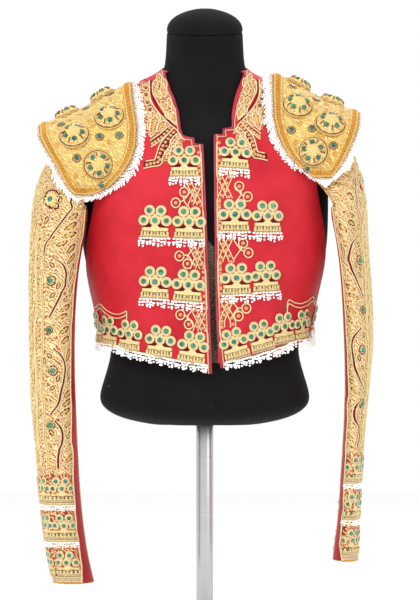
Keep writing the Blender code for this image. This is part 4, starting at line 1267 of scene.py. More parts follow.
@dataclass
class TasselCluster:
    """Two rosettes over three, on a stem, a corded band and a bead fringe.

    Args:
        spread: distance between rosettes.
        disc: scale of a rosette.
        half: half width of the band.
        tall: height of the band.
        fringe: length of the white bead loops.
        loops: number of those loops, or none where a fringe of its own hangs below.
    """

    spread: float = 15.4
    disc: float = 1.0
    half: float = 18.6
    tall: float = 14.5
    fringe: float = 10.0
    loops: int = 9

    def lay(self, box: Workbox, patch: Patch, seed: int = 0) -> None:
        """Sews one cluster with its middle rosette at the patch's middle."""
        gap = self.spread
        for a, b in ((-gap / 2, gap * 0.86), (gap / 2, gap * 0.86), (-gap, 0.0), (0.0, 0.0), (gap, 0.0)):
            lay_disc(box, patch, a, b, self.disc)
        for a, b in ((0.0, gap * 0.45), (-gap * 0.5, gap * 0.25), (gap * 0.5, gap * 0.25)):
            box.scaled(STUD, patch.pose(a, b, 0.3), 3.0 * self.disc, LIGHT_GOLD)
        top = -gap * 0.64
        half, tall = self.half, self.tall
        # Dark red padding behind the stem: the ground darkened with painted shade.
        self.pad(box, patch, ((half * 0.8, -gap * 0.3), (half * 0.96, top)), 0.4, DARK_RED)
        stem = ((3.0, -gap * 0.25), (3.4, -gap * 0.42), (6.8, top), (8.5, top - 1.0))
        self.pad(box, patch, stem, 1.7, LIGHT_GOLD)
        self.pad(box, patch, ((half - 0.5, top + 0.4), (half - 0.2, top - tall * 0.3)), 2.0, LIGHT_GOLD)
        self.pad(box, patch, ((half, top - tall * 0.3), (half + 0.6, top - tall)), 0.9, BORDER_GOLD)
        ribs = max(7, int(half / 2.05))
        for k in range(ribs):
            a = half * (-0.93 + 1.86 * k / (ribs - 1))
            lift = (1.2, 1.8, 1.2)
            path = [(a, top - tall * 0.34), (a * 1.01, top - tall * 0.5), (a * 1.02, top - tall * 0.68)]
            box.cord(patch.wear(path, lift), half / ribs * 0.92, LIGHT_GOLD, True)
        for level in (0.29, 0.82):
            line = [(half * share, top - tall * level) for share in (-1.0, -0.5, 0.0, 0.5, 1.0)]
            box.cord(patch.wear(line, 1.6), 0.75, DARK_THREAD, True)
        for k in range(5):
            a = half * (-0.76 + 0.38 * k)
            box.scaled(STUD, patch.pose(a, top - tall * 0.46, 2.3), 1.5, DARK_STONE)
        for level, finish in ((0.73, LIGHT_GOLD), (0.92, BEIGE_CORD)):
            path = [(half * 1.02 * (k / 11.0 - 1.0), top - tall * level + (1.1 if k % 2 else -0.6))
                    for k in range(23)]
            box.cord(patch.wear(path, 1.7), 1.3, finish, True)
        for k in range(self.loops):
            a = half * (-1.03 + 2.06 * k / (self.loops - 1))
            length = self.fringe * (0.74 + 0.3 * math.sin(seed * 1.3 + k * 2.4) ** 2)
            lean = 0.9 * math.sin(k * 1.9 + seed) + 0.05 * a
            lay_strand(box, patch, a, top - tall * 0.96, length, lean, 1.6, FRINGE_BEAD, WHITE_BEADS,
                       seed * 7 + k)

    def pad(self, box: Workbox, patch: Patch, outline: Sequence[Point], rise: float, finish: Finish) -> None:
        """Low padding that is as wide, on both sides, as its outline says at each height."""
        rings = []
        for a, b in outline:
            path = [(a, b), (0.0, b), (-a, b), (-a * 0.94, b), (0.0, b), (a * 0.94, b)]
            rings.append(patch.wear(path, [0.1, 0.1, 0.1, rise, rise * 1.15, rise]))
        box.rings(rings, finish)


FRONT_TASSELS = ("neck", "upper_outer", "upper_inner", "lower_outer", "lower_inner")


@dataclass
class FrontWork:
    """Needlework of one front: edges, lattice, loops, shoulder bands and clusters.

    Args:
        side: which front.
        clusters: column, row, turn in degrees and scale of each middle rosette, those of the hem last.
        edge: places down the front edge.
        neck: places of the neck's edge, from the collar to the front edge.
        loops: middles of two open loops and the knot where their stalks meet, for each pair.
        crossings: rows at which the studded bands cross.
        hem: places along the hem.
        hem_cord: places of the cords over the side of the hem.
        tab_shadow: places of a dark thread beside them, a painted shadow of the raised edge of the side tab.
    """

    side: Side
    clusters: Sequence[tuple[float, float, float, float]]
    edge: Sequence[Point]
    neck: Sequence[Point]
    loops: Sequence[tuple[Point, Point, Point]]
    crossings: Sequence[float]
    hem: Sequence[Point]
    hem_cord: Sequence[Point]
    tab_shadow: Sequence[Point]

    def place(self, column: float, row: float) -> Point:
        """Width and height for a place noted on the right front."""
        if self.side is Side.LEFT:
            column, row = other_half(column, row)
        return photo_mm(column, row)

    def path(self, places: Sequence[Point]) -> list[Point]:
        """Flowing path for places noted on the right front."""
        return smooth_path([self.place(*spot) for spot in places], 2.5)

    def edge_column(self, rows: np.ndarray | float) -> np.ndarray:
        """Columns of the front edge at the given rows."""
        return np.interp(rows, [row for _, row in self.edge], [column for column, _ in self.edge])

    def build(self, front: Lay, body: Lay) -> None:
        """Sews the whole front.

        Args:
            front: lay of width and height.
            body: lay of arc and height round the body.
        """
        word = self.side.word
        box = Workbox("front_work_" + word)
        flat = Patch(front, 0.0, 0.0)
        self.edges(box, flat)
        self.shoulder(box, flat)
        self.lattice(box, flat)
        for first, second, knot in self.loops:
            self.loop_pair(box, flat, first, second, knot)
        box.finish(["front_edge_" + word, "shoulder_trim_" + word])
        tassels = Workbox("tassels_" + word)
        for number, (column, row, turn, scale) in enumerate(self.clusters):
            x, z = photo_mm(column, row)
            cluster = TasselCluster() if number < len(FRONT_TASSELS) else TasselCluster(tall=16.5, loops=0)
            arc = body.column_at(0, x, z, (0.0, 260.0) if x > 0 else (-260.0, 0.0))
            cluster.lay(tassels, Patch(body, arc, z, math.radians(turn), scale), number * 3 + 1)
        self.hem_fringe(tassels, body)
        tassels.finish([f"tassel_{name}_{word}" for name in FRONT_TASSELS] + ["hem_trim_" + word])

    def hem_fringe(self, box: Workbox, body: Lay) -> None:
        """White bead loops along the whole hem, under a cream cord."""
        line = []
        for column, row in self.hem:
            x, z = photo_mm(column, row - 1.2)
            line.append((body.column_at(0, x, z, (0.0, 262.0) if x > 0 else (-262.0, 0.0)), z))
        path = smooth_path(line, 3.9)
        box.cord(body.along(path, 1.4), 1.5, BEIGE_CORD, True)
        flat = Patch(body, 0.0, 0.0)
        for index, (arc, z) in enumerate(path):
            length = 9.6 * (0.72 + 0.3 * math.sin(index * 2.4) ** 2)
            lean = 0.9 * math.sin(index * 1.9)
            lay_strand(box, flat, arc, z - 0.5, length, lean, 1.5, FRINGE_BEAD, WHITE_BEADS, index)

    def edges(self, box: Workbox, flat: Patch) -> None:
        """Red piping and corded lines along the front and neck edges and over the side of the hem, and a dark
        thread of painted shadow beside the side tab.
        """
        inward = self.side.value
        line = smooth_path(photo_path(self.edge), 3.0)
        box.cord(flat.wear(line, -0.6), 1.7, RED_PIPING)
        box.cord(flat.wear([(x + inward * 3.2, z) for x, z in line], 0.7), 1.0, ROSE_CORD)
        neck = photo_path(self.neck)
        line = []
        for low, high in zip(neck, neck[1:]):
            line += smooth_path((low, high), 2.5)
        box.cord(flat.wear(line, -0.6), 1.7, RED_PIPING)
        box.cord(flat.wear([(x + inward * 2.6, z - 2.4) for x, z in line], 0.7), 0.9, ROSE_CORD)
        for drop in (0.0, 5.4):
            path = smooth_path([(x, z - drop) for x, z in photo_path(self.hem_cord)], 2.5)
            box.cord(flat.wear(path, 0.7), 0.8, PALE_CORD)
        # Painted shadow: a dark thread beside the raised edge of the side tab.
        box.cord(flat.wear(smooth_path(photo_path(self.tab_shadow), 2.0), 0.2), 0.7, DARK_THREAD)

    def covered(self, x: float, z: float) -> bool:
        """Whether a cluster of this front covers a place."""
        for column, row, _, scale in self.clusters:
            cx, cz = photo_mm(column, row)
            if abs(x - cx) < 19.5 * scale and -24.0 * scale < z - cz < 20.0 * scale:
                return True
        return False

    def lattice(self, box: Workbox, flat: Patch) -> None:
        """Two studded bands that cross again and again beside the edge."""
        rows = np.arange(min(self.edge[0][1] + 8.0, 158.0), 350.0, 1.5)
        edge = self.edge_column(rows)
        pitch = (self.crossings[-1] - self.crossings[0]) / (len(self.crossings) - 1)
        inward = self.side.value
        phase = np.clip(1.7 * np.sin(math.pi * (rows - self.crossings[0]) / pitch), -1.0, 1.0)
        for hand in (1, -1):
            middle = edge + inward * (9.6 + hand * 5.4 * phase)
            for shift in (-2.5, 2.5):
                run: list[Point] = []
                for column, row in zip(middle + shift, rows):
                    x, z = photo_mm(column, row)
                    if self.covered(x, z) or row > 343.0:
                        self.thread(box, flat, run)
                        run = []
                    else:
                        run.append((x, z))
                self.thread(box, flat, run)
            last = -10.0
            for column, row in zip(middle, rows):
                x, z = photo_mm(column, row)
                if row - last < 5.4 or self.covered(x, z):
                    continue
                last = row
                box.scaled(STUD, flat.pose(x, z, 0.2), 2.5, STUD_GOLD)
        for row in np.arange(self.crossings[0] - 28.0, 352.0, 5.6):
            x, z = photo_mm(float(self.edge_column(row)) + inward * 4.4, float(row))
            if not self.covered(x, z):
                box.scaled(STUD, flat.pose(x, z, 0.1), 1.7, STUD_GOLD)

    def thread(self, box: Workbox, flat: Patch, run: Sequence[Point]) -> None:
        """Pale cord along a run of places, if it is long enough to show."""
        if len(run) > 2:
            box.cord(flat.wear(run, 1.0), 0.85, PALE_CORD, True)

    def loop_pair(self, box: Workbox, flat: Patch, first: Point, second: Point, knot: Point) -> None:
        """Two open loops with a stud in each, on stalks that meet and run down into the lattice."""
        meet = photo_mm(*knot)
        for spot in (first, second):
            x, z = photo_mm(*spot)
            box.cord(flat.wear(ring_path(x, z, 5.9, 16, 1.08), 1.0), 0.95, PALE_CORD)
            box.scaled(STUD, flat.pose(x, z, 0.2), 2.8, STUD_GOLD)
            end = (meet[0] - self.side.value * 9.0, meet[1] + (12.0 if spot is second else -13.0))
            start = (x + (meet[0] - x) * 0.45, z + (meet[1] - z) * 0.45)
            box.cord(flat.wear(smooth_path((start, meet, end), 2.5), 1.0), 0.9, PALE_CORD)

    def shoulder(self, box: Workbox, flat: Patch) -> None:
        """Leaves, studded bands and grounds between the epaulet and the collar, and on the collar."""
        grounds = (
            (((156.5, 71), (152.8, 84), (154.5, 97), (160.6, 108), (168, 116.8), (176.6, 126.6)),
             ((163.2, 69.5), (165, 78), (169.6, 92), (173.2, 104.5), (176.8, 118.5), (178.2, 127.4))),
            (((139.4, 80.8), (139.8, 92), (141, 102), (143, 113), (145, 126), (149.6, 139.5)),
             ((149, 77), (149.6, 94), (152.8, 104.5), (157.5, 112.5), (164, 120.5), (170.5, 128.5))),
            (((150.3, 142), (160.5, 134.6), (166.8, 128.6), (171.4, 126.4)),
             ((151.2, 148.2), (161.1, 141.4), (168.1, 135.1), (173.4, 129.4))),
            (((156.2, 160.8), (159.1, 149.4), (162.7, 142.2), (172.2, 131.4)),
             ((162.2, 163.4), (164, 156.6), (169.2, 147.6), (177.5, 134.5))),
            (((163, 163.5), (164.6, 156.8), (169.6, 148), (174.6, 139), (178.5, 133.5)),
             ((170, 163.5), (176.5, 156.5), (181, 149.5), (182.4, 143), (182.8, 139.6))),
            (((144, 162.6), (150.2, 161.8), (155.6, 160.8), (159, 158)),
             ((143.9, 169.4), (151.7, 167.7), (159.2, 166.6), (162.4, 163.6))),
        )
        for number, (left, right) in enumerate(grounds):
            # Grounds 2, 3 and 5 are dark red: the red ground darkened with painted shade between the bands.
            finish = SHOULDER_GROUND if number in (0, 1, 4) else DARK_RED
            box.panel(flat, self.path(left)[::2], self.even(left, right), 0.45, finish)
        cords = (
            *grounds[2],
            ((155.4, 160.9), (158.9, 149.1), (162.5, 142.1), (171.8, 131.4)),
            ((162.3, 163.7), (163.9, 156.8), (169.5, 147.7), (171.4, 141), (177, 134.8)),
            ((143.8, 169.6), (151.7, 167.9), (159.4, 166.8), (162.6, 163.6)),
            ((146.5, 162.4), (151, 161.6), (155.4, 160.9)),
            ((149.3, 80), (149.6, 95), (152.8, 104.8), (157.6, 112), (163.2, 118.2), (169.6, 125.2),
             (176.6, 131), (181.4, 137.9), (184.8, 142)),
            ((152.6, 82), (153, 93), (156.2, 99.3), (160.4, 107), (166, 115.4), (171.6, 121.1),
             (177.3, 126.8)),
            ((172.6, 163), (170, 155.5), (172, 149), (178, 144.4)),
            ((175.2, 148.4), (177, 141.6), (181, 139.8)),
        )
        for places in cords:
            box.cord(flat.wear(self.path(places), 0.95), 0.95, PALE_CORD)
        # The dark red cord between the two pale cords is the ground darkened with painted shade.
        seam = ((150.9, 80), (151.4, 94), (154.4, 102.4), (159, 109.8), (164.6, 117), (170.4, 123.2),
                (177.2, 129.4))
        box.cord(flat.wear(self.path(seam), 0.1), 0.8, DARK_RED)
        studs = ((152.6, 144.6), (155.4, 142.9), (158.6, 140.6), (161.6, 138.4), (164.6, 135.4),
                 (167.4, 132.2), (170, 129.4), (158.8, 158.6), (160.3, 154.5), (161.6, 150.6),
                 (163.2, 147), (165.6, 143.4), (168.2, 140), (170.8, 136.6), (173.6, 133.6),
                 (147.4, 166), (151, 165), (154.6, 164.2), (158.2, 163.4), (160.6, 160.8), (155, 146),
                 (163.6, 151.6), (166.6, 147.2))
        for number, spot in enumerate(studs):
            x, z = self.place(*spot)
            box.scaled(STUD, flat.pose(x, z, 0.5), 2.5 if number < 20 else 1.6, STUD_GOLD)
        rings = ((145.3, 87), (146, 94.5), (147.6, 102.2), (150, 109.8), (166.7, 154), (169.8, 150.3),
                 (168.6, 157.6), (173.6, 146.6), (175.4, 152.8), (172, 142.6), (178.8, 136.8), (180.2, 146.6))
        for number, spot in enumerate(rings):
            x, z = self.place(*spot)
            size = 3.9 if number < 4 else 2.7
            box.cord(flat.wear(ring_path(x, z, size, 9), 1.0), 0.85, PALE_CORD, True)
            box.scaled(STUD, flat.pose(x, z, 0.4), 0.5 * size,
                     DARK_THREAD if number < 4 else STUD_GOLD)
        leaves = (((164.9, 97.5), (162.1, 84.2), 8.4), ((161.3, 98.4), (155.4, 89.8), 7.4),
                  ((167.4, 109.6), (161.6, 100.8), 8.2), ((176, 125.6), (169.4, 110.8), 9.4),
                  ((157, 88), (154.8, 79.6), 5.8), ((161.4, 83), (157.6, 73.2), 6.4),
                  ((171.8, 108), (168.2, 98.4), 5.6), ((171, 121), (165, 112.6), 6.4),
                  ((174.6, 115), (172.6, 106.6), 5), ((166, 90), (164.4, 78.6), 4.6),
                  ((151.4, 138), (156.4, 115.4), 11.5), ((156.8, 133.2), (164.8, 121.6), 9.6),
                  ((149.4, 121.6), (153, 112), 6.4), ((146, 112.4), (151, 117), 5),
                  ((160.6, 122), (156.6, 113.6), 4.6), ((149.2, 131), (148.8, 121), 4.6))
        for foot, tip, width in leaves:
            leaf_between(box, flat, self.place(*foot), self.place(*tip), width)

    def even(self, left: Sequence[Point], right: Sequence[Point]) -> list[Point]:
        """The right border of a ground with as many places as its left one has."""
        count = len(self.path(left)[::2])
        path = np.array(self.path(right))
        shares = np.linspace(0, len(path) - 1, count)
        index = np.arange(len(path))
        across, up = (np.interp(shares, index, path[:, axis]) for axis in (0, 1))
        return [(float(a), float(b)) for a, b in zip(across, up)]


@dataclass
class SleevePattern:
    """Where the needlework of a sleeve lies, by arc from its strip and height above its cuff.

    Args:
        stems: winding stems.
        leaves: foot and tip of each leaf.
        flowers: middle and reach of each flower.
        ribs: long cords on the outer half.
    """

    stems: list[list[Point]]
    leaves: list[tuple[Point, Point]]
    flowers: list[tuple[Point, float]]
    ribs: list[list[Point]]


STEMS = (((72.4, 199), (70.9, 203.4), (66.9, 216.8), (58, 229), (50.8, 239.6), (44.8, 257)),
         ((54.2, 257.7), (62.9, 263.7), (66.9, 273.1), (65.6, 286.5), (58.9, 301.3), (50.8, 316.7)),
         ((54.9, 348.2), (61.6, 354.9), (65.6, 365.6), (64.2, 380.3), (60.2, 400), (52, 414)),
         ((56, 420), (62, 428), (63, 440), (60, 452), (59, 467)))
LEAVES = (((68.6, 211.6), (80.4, 203.6)), ((67.4, 221.6), (79.6, 213.6)), ((63.4, 232), (78, 222.6)),
          ((61, 238.6), (77.6, 233)), ((56, 247), (70, 241.6)), ((66, 256), (76.4, 243.6)),
          ((67.6, 266), (75.4, 253)), ((69.4, 284), (74.4, 262)), ((68.8, 300), (73.2, 283)),
          ((62, 303), (71.4, 294.6)), ((58.6, 312.6), (70.6, 304.4)), ((53, 320.6), (68.6, 313.6)),
          ((58.6, 335), (69.6, 326)), ((60, 345), (69.6, 335.6)), ((66, 364), (70.2, 347)),
          ((67.4, 384), (70.4, 364)), ((63.4, 399), (71, 388.6)), ((60.6, 407.4), (71, 398)),
          ((57, 416.6), (70.4, 407)), ((63, 429), (72, 417)), ((64.6, 440), (73, 428)),
          ((64, 452), (73.6, 441)), ((63, 463), (74, 452)), ((50, 262), (56.6, 268)),
          ((46, 272), (44.6, 262.6)), ((58, 292), (50.4, 298)), ((47, 352), (54, 358)),
          ((45.6, 366), (46, 356)), ((57.6, 384), (50.6, 390)), ((60.6, 280.6), (58, 290)),
          ((60.6, 372.6), (58, 382)), ((44.4, 226), (50, 216.6)), ((41, 214), (45, 222)),
          ((60.6, 196), (66, 206)), ((56, 436), (50, 428)), ((48, 440), (54, 448)))
FLOWERS = (((51.5, 200), 12.4), ((52, 281), 6.2), ((54, 370), 6.2), ((50.4, 330), 5),
           ((52, 424), 5.4))
RIBS = (((42.6, 232), (44.4, 257), (43.4, 284), (45, 316), (44.4, 345), (42.6, 372), (45, 404),
         (46, 436), (49, 466)),
        ((38.6, 230), (36.6, 262), (38, 300), (36, 340), (38, 380), (38.6, 420), (42.4, 466)))


@dataclass
class Sleeve:
    """One sleeve: its gold cloth, the satin strip along its seam and its needlework.

    Args:
        side: which sleeve.
        low: height of the cuff's edge.
        high: height up to which the lay goes.
        strip_half: half width of the satin strip.
        strip_shift: arc from the seam to the strip's middle.
        braid: arc of the flat braid across the cuff's rows.
        flats: width and length of each piece's cut, in metres; not used.
        areas: area of each piece by cut and side, in square metres; not used.
        shells: the finished pieces by cut.
    """

    side: Side
    low: float
    high: float = 690.0
    strip_half: float = 12.0
    strip_shift: float = 8.5
    braid: float = 103.0
    flats: dict[str, Point] = field(default_factory=lambda: {"front": (0.19, 0.64), "back": (0.15, 0.60)})
    areas: dict[str, float] = field(default_factory=lambda: {
        "front_right": 0.070, "back_right": 0.068, "front_left": 0.061, "back_left": 0.060})
    shells: dict[str, bpy.types.Object] = field(default_factory=dict)

    def build(self, pattern: SleevePattern | None = None) -> SleevePattern:
        """Builds the cloth and the needlework.

        Args:
            pattern: needlework to repeat, or None to lay it out from the front view.

        Returns:
            The pattern.
        """
        word = self.side.word
        for cut in ("front", "back"):
            node = f"sleeve_{cut}_{word}"
            thing = rounded(weld_copy(node, f"gold_sleeve_{cut}_{word}"), 2)
            dress(thing, SLEEVE_GOLD, "gold_sleeve_cloth")
            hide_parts(node)
            self.shells[cut] = thing
        lay, length = self.lay()
        pattern = pattern or self.drawn(lay)
        self.strip(lay)
        self.scrolls(lay, length, pattern)
        self.cuff(lay, length)
        return pattern

    def declare(self) -> None:
        """Does nothing; the cut sizes are not stated."""

    def lay(self) -> tuple[Lay, np.ndarray]:
        """Lay of arc and height round the sleeve, and the arc round it at each row.

        Returns:
            The lay, whose arc starts at the strip and runs over the front, and rows with their full arc.
        """
        word = self.side.word
        tree = tree_of(self.shells.values())
        strip = np.array([vertex.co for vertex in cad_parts["sleeve_strip_" + word].data.vertices])
        cloth = np.array([vertex.co for thing in self.shells.values() for vertex in thing.data.vertices])
        rows = np.arange(self.low + 1.0, self.high, 8.0)
        steps = 120
        grid = np.full((len(rows), 2 * steps + 1, 3), np.nan)
        around = np.zeros(len(rows))
        for i, row in enumerate(rows):
            near = cloth[np.abs(cloth[:, 2] - min(row, 0.585 / MM) * MM) < 0.018]
            axis = (near[:, :2].max(0) + near[:, :2].min(0)) / 2
            seam = strip[np.abs(strip[:, 2] - min(row, 580.0) * MM) < 0.03][:, :2].mean(0) - axis
            start = math.atan2(seam[0], -seam[1])
            centre = Vector((axis[0], axis[1], row * MM))
            for j in range(2 * steps + 1):
                turn = start + self.side.value * 2 * math.pi * (j - steps / 2) / steps
                way = Vector((math.sin(turn), -math.cos(turn), 0.0))
                hit = tree.ray_cast(centre + way * 0.16, -way, 0.158)
                if hit[0] is not None:
                    grid[i, j] = hit[0]
            good = ~np.isnan(grid[i, :, 0])
            if good.sum() > 12 and not good.all():
                index = np.arange(2 * steps + 1)
                for k in range(3):
                    grid[i, :, k] = np.interp(index, index[good], grid[i, good, k])
            around[i] = np.linalg.norm(np.diff(grid[i, :steps + 1], axis=0), axis=1).sum() / MM
        lay = even_arcs(Lay.filled(grid, np.arange(2 * steps + 1), rows).points, rows, steps // 2, 2.0, 330.0)
        middle = cloth[np.abs(cloth[:, 2] - 0.35) < 0.02].mean(0)
        points, out = lay.blend([40.0], [350.0])
        if float(np.dot(out[0][:2], points[0][:2] - middle[:2])) < 0:
            lay.out = -lay.out
        return lay, np.vstack((rows, around))

    def drawn(self, lay: Lay) -> SleevePattern:
        """Pattern whose visible half follows the front view."""
        def spot(column: float, row: float) -> Point:
            """Arc and height above the cuff for a place of the front view."""
            x, z = photo_mm(column, row)
            return lay.column_at(0, x, z, (2.0, 112.0)), z - self.low

        return SleevePattern(
            stems=[[spot(*place) for place in line] for line in STEMS],
            leaves=[(spot(*foot), spot(*tip)) for foot, tip in LEAVES],
            flowers=[(spot(*place), reach) for place, reach in FLOWERS],
            ribs=[[spot(*place) for place in line] for line in RIBS])

    def strip(self, lay: Lay) -> None:
        """Plain satin strip along the seam with a rose cord on each edge."""
        box = Workbox("sleeve_strip_work_" + self.side.word, "red_satin")
        heights = np.arange(self.low - 0.5, 600.0, 12.0)
        flares = [1.0 + 0.35 * max(0.0, 1.0 - (height - self.low) / 40.0) for height in heights]
        shares = (-1.0, -0.6, -0.2, 0.2, 0.6, 1.0)
        lifts = [0.2] * 6 + [1.4, 1.9, 2.0, 2.0, 1.9, 1.4]
        rings = []
        for height, flare in zip(heights, flares):
            columns = [self.strip_shift + self.strip_half * flare * share for share in shares]
            rings.append(lay.wear(columns + columns[::-1], [height] * 12, lifts))
        # The strip's darker red is painted shade.
        box.rings(rings, STRIP_RED)
        for edge in (-self.strip_half, self.strip_half):
            columns = [self.strip_shift + edge * flare for flare in flares]
            box.cord(lay.wear(columns, heights, 1.3), 1.25, PALE_CORD)
        box.finish(["sleeve_strip_" + self.side.word])

    def scrolls(self, lay: Lay, length: np.ndarray, pattern: SleevePattern) -> None:
        """Stems, leaves, curls and flowers all over the sleeve above the cuff."""
        box = Workbox("sleeve_work_" + self.side.word, "gold_sleeve_cloth")
        low = self.low
        taken: list[tuple[float, float, float]] = []
        flat = Patch(lay, 0.0, 0.0)
        half_turn = float(np.interp(400.0, length[0], length[1])) / 2
        for mirror in (False, True):
            def lift(place: Point) -> Point:
                """Place of the pattern on this half of the sleeve."""
                arc = 2 * half_turn - place[0] if mirror else place[0]
                return arc, place[1] + low

            for line in pattern.stems:
                path = smooth_path([lift(place) for place in line], 3.0)
                # Dark red under each stem, between its pale cords: the ground darkened with painted shade.
                box.cord(lay.along(path, 0.5), 1.25, DARK_RED)
                for shift in (-2.1, 2.1):
                    box.cord(lay.along(path, 1.0, shift), 1.0, PALE_CORD, True)
                taken += [(s, z, 3.5) for s, z in path]
            for foot, tip in pattern.leaves:
                start, end = lift(foot), lift(tip)
                wide = max(6.4, min(10.5, 0.6 * math.dist(start, end)))
                leaf_between(box, flat, start, end, wide, 1.4)
                for share in (0.15, 0.5, 0.85):
                    taken.append((start[0] + (end[0] - start[0]) * share,
                                  start[1] + (end[1] - start[1]) * share, 3.6))
            for place, reach in pattern.flowers:
                arc, z = lift(place)
                self.flower(box, Patch(lay, arc, z), reach)
                taken.append((arc, z, reach))
            for line in pattern.ribs:
                path = smooth_path([lift(place) for place in line], 4.0)
                for shift, finish in ((-1.5, LIGHT_GOLD), (1.5, PALE_CORD)):
                    box.cord(lay.along(path, 0.8, shift), 1.1, finish, True)
                taken += [(s, z, 2.0) for s, z in path]
        self.fill(box, lay, length, low + 146.0, 668.0, taken)
        box.finish()

    def flower(self, box: Workbox, patch: Patch, reach: float) -> None:
        """Daisy of padded petals round a green stone."""
        petals = 13 if reach > 9 else 8
        # Dark red rings round the flower: the ground darkened with painted shade.
        for share in (1.04, 0.8):
            box.cord(patch.wear(ring_path(0.0, 0.0, reach * share, 18), 0.2), 0.1 * reach, DARK_RED, True)
        for k in range(petals):
            petal = Patch(patch.lay, patch.column, patch.row, 2 * math.pi * k / petals)
            lay_leaf(box, petal, reach, reach * 5.0 / petals, 0.26 * reach, LIGHT_GOLD)
        pose = patch.pose(0.0, 0.0, 1.2)
        box.copy(STONE_RING, pose @ Matrix.Translation((0, 0, 0.6 * MM)), PALE_CORD)
        box.copy(STONE, pose, GREEN_STONE)

    def fill(self, box: Workbox, lay: Lay, length: np.ndarray, low: float, high: float, taken: list) -> None:
        """Curls, small leaves and short wavy cords packed between the leaves, all round the sleeve."""
        spots = np.array(taken)
        index = 0
        z = low + 4.0
        while z < high:
            around = float(np.interp(z, length[0], length[1]))
            s = self.strip_half + self.strip_shift + 5.0 + (4.4 if int(z) % 2 else 0.0)
            while s < around - self.strip_half - 1.0:
                index += 1
                gap = np.hypot(spots[:, 0] - s, spots[:, 1] - z) - spots[:, 2]
                if gap.min() > 1.6:
                    small = min(1.0, 0.55 + gap.min() / 9.0)
                    patch = Patch(lay, s, z + 1.2 * math.sin(index * 1.7), index * 2.399, small)
                    if index % 6 == 2:
                        lay_leaf(box, patch, 8.0, 4.2, 1.2, LIGHT_GOLD)
                    elif index % 6 == 5:
                        upright = Patch(lay, s, z, 0.0, small)
                        path = [(1.5 * math.sin(k * 1.6), -6.0 + 1.7 * k) for k in range(8)]
                        box.cord(upright.wear(path, 0.9), 1.0, LIGHT_GOLD, True)
                    else:
                        path = patch.wear(curl_path(5.0, 1.15, 0.0, 1 if index % 2 else -1, 9), 0.9)
                        box.cord(path, 0.95, PALE_CORD if index % 3 else LIGHT_GOLD, True)
                s += 10.0
            z += 9.0

    def cuff(self, lay: Lay, length: np.ndarray) -> None:
        """Three rows of small clusters on red round the cuff, and cords along its edge."""
        box = Workbox("cuff_work_" + self.side.word)
        cluster = TasselCluster(spread=11.6, disc=0.76, half=16.0, tall=11.0, loops=0)
        word = self.side.word
        flat = Patch(lay, 0.0, 0.0)
        edge = self.strip_half + self.strip_shift + 2.0
        for row in range(3):
            middle = self.low + 29.0 + 50.0 * row
            around = float(np.interp(middle, length[0], length[1]))
            columns = np.linspace(edge, around - edge, 44)
            lower, upper = ([(a, middle + rise) for a in columns] for rise in (-22.0, 20.0))
            box.panel(flat, lower, upper, 0.5, SHOULDER_GROUND, 5)
            count = max(3, round((around - 2 * edge) / 34.5))
            pitch = (around - 2 * edge) / count
            for k in range(count):
                centre = edge + pitch * (k + 0.5)
                if abs(centre - self.braid) > 15.0:
                    cluster.lay(box, Patch(lay, centre, middle), row * 11 + k)
            seam = middle - cluster.spread * 0.64 - 12.6
            for drop, finish in ((0.0, LIGHT_GOLD), (-2.4, BEIGE_CORD)):
                box.cord(lay.wear(columns, np.full(len(columns), seam + drop), 1.2), 1.3, finish, True)
            for k, a in enumerate(np.linspace(edge, around - edge, int(around / 4.3)) if row else ()):
                lean = 0.5 * math.sin(k * 1.9)
                lay_strand(box, flat, float(a), seam - 3.4, 5.4, lean, 1.6, 1.25, WHITE_BEADS, k + row, 1.4)
        heights = np.arange(self.low + 8.0, self.low + 147.0, 5.0)
        for k in range(6):
            sway = [self.braid - 12.5 + 5.0 * k + 0.9 * math.sin(height * 0.5 + 2.0 * k)
                    for height in heights]
            box.cord(lay.wear(sway, heights, 1.1), 2.0, LIGHT_GOLD if k % 2 else BRIGHT_GOLD)
        around = float(np.interp(self.low + 4.0, length[0], length[1]))
        columns = np.linspace(edge, around - edge, 60)
        for rise, size, finish in ((0.6, 1.5, BORDER_GOLD), (3.6, 1.4, BEIGE_CORD), (6.4, 1.2, LIGHT_GOLD)):
            box.cord(lay.wear(columns, np.full(len(columns), self.low + rise), 0.8), size, finish)
        box.finish([f"cuff_row_{number}_{word}" for number in (1, 2, 3)])


DOME_RADIUS = 18.0
DOME_RISE = 13.0
PLATE_ROWS = 97
PLATE_COLUMNS = 33


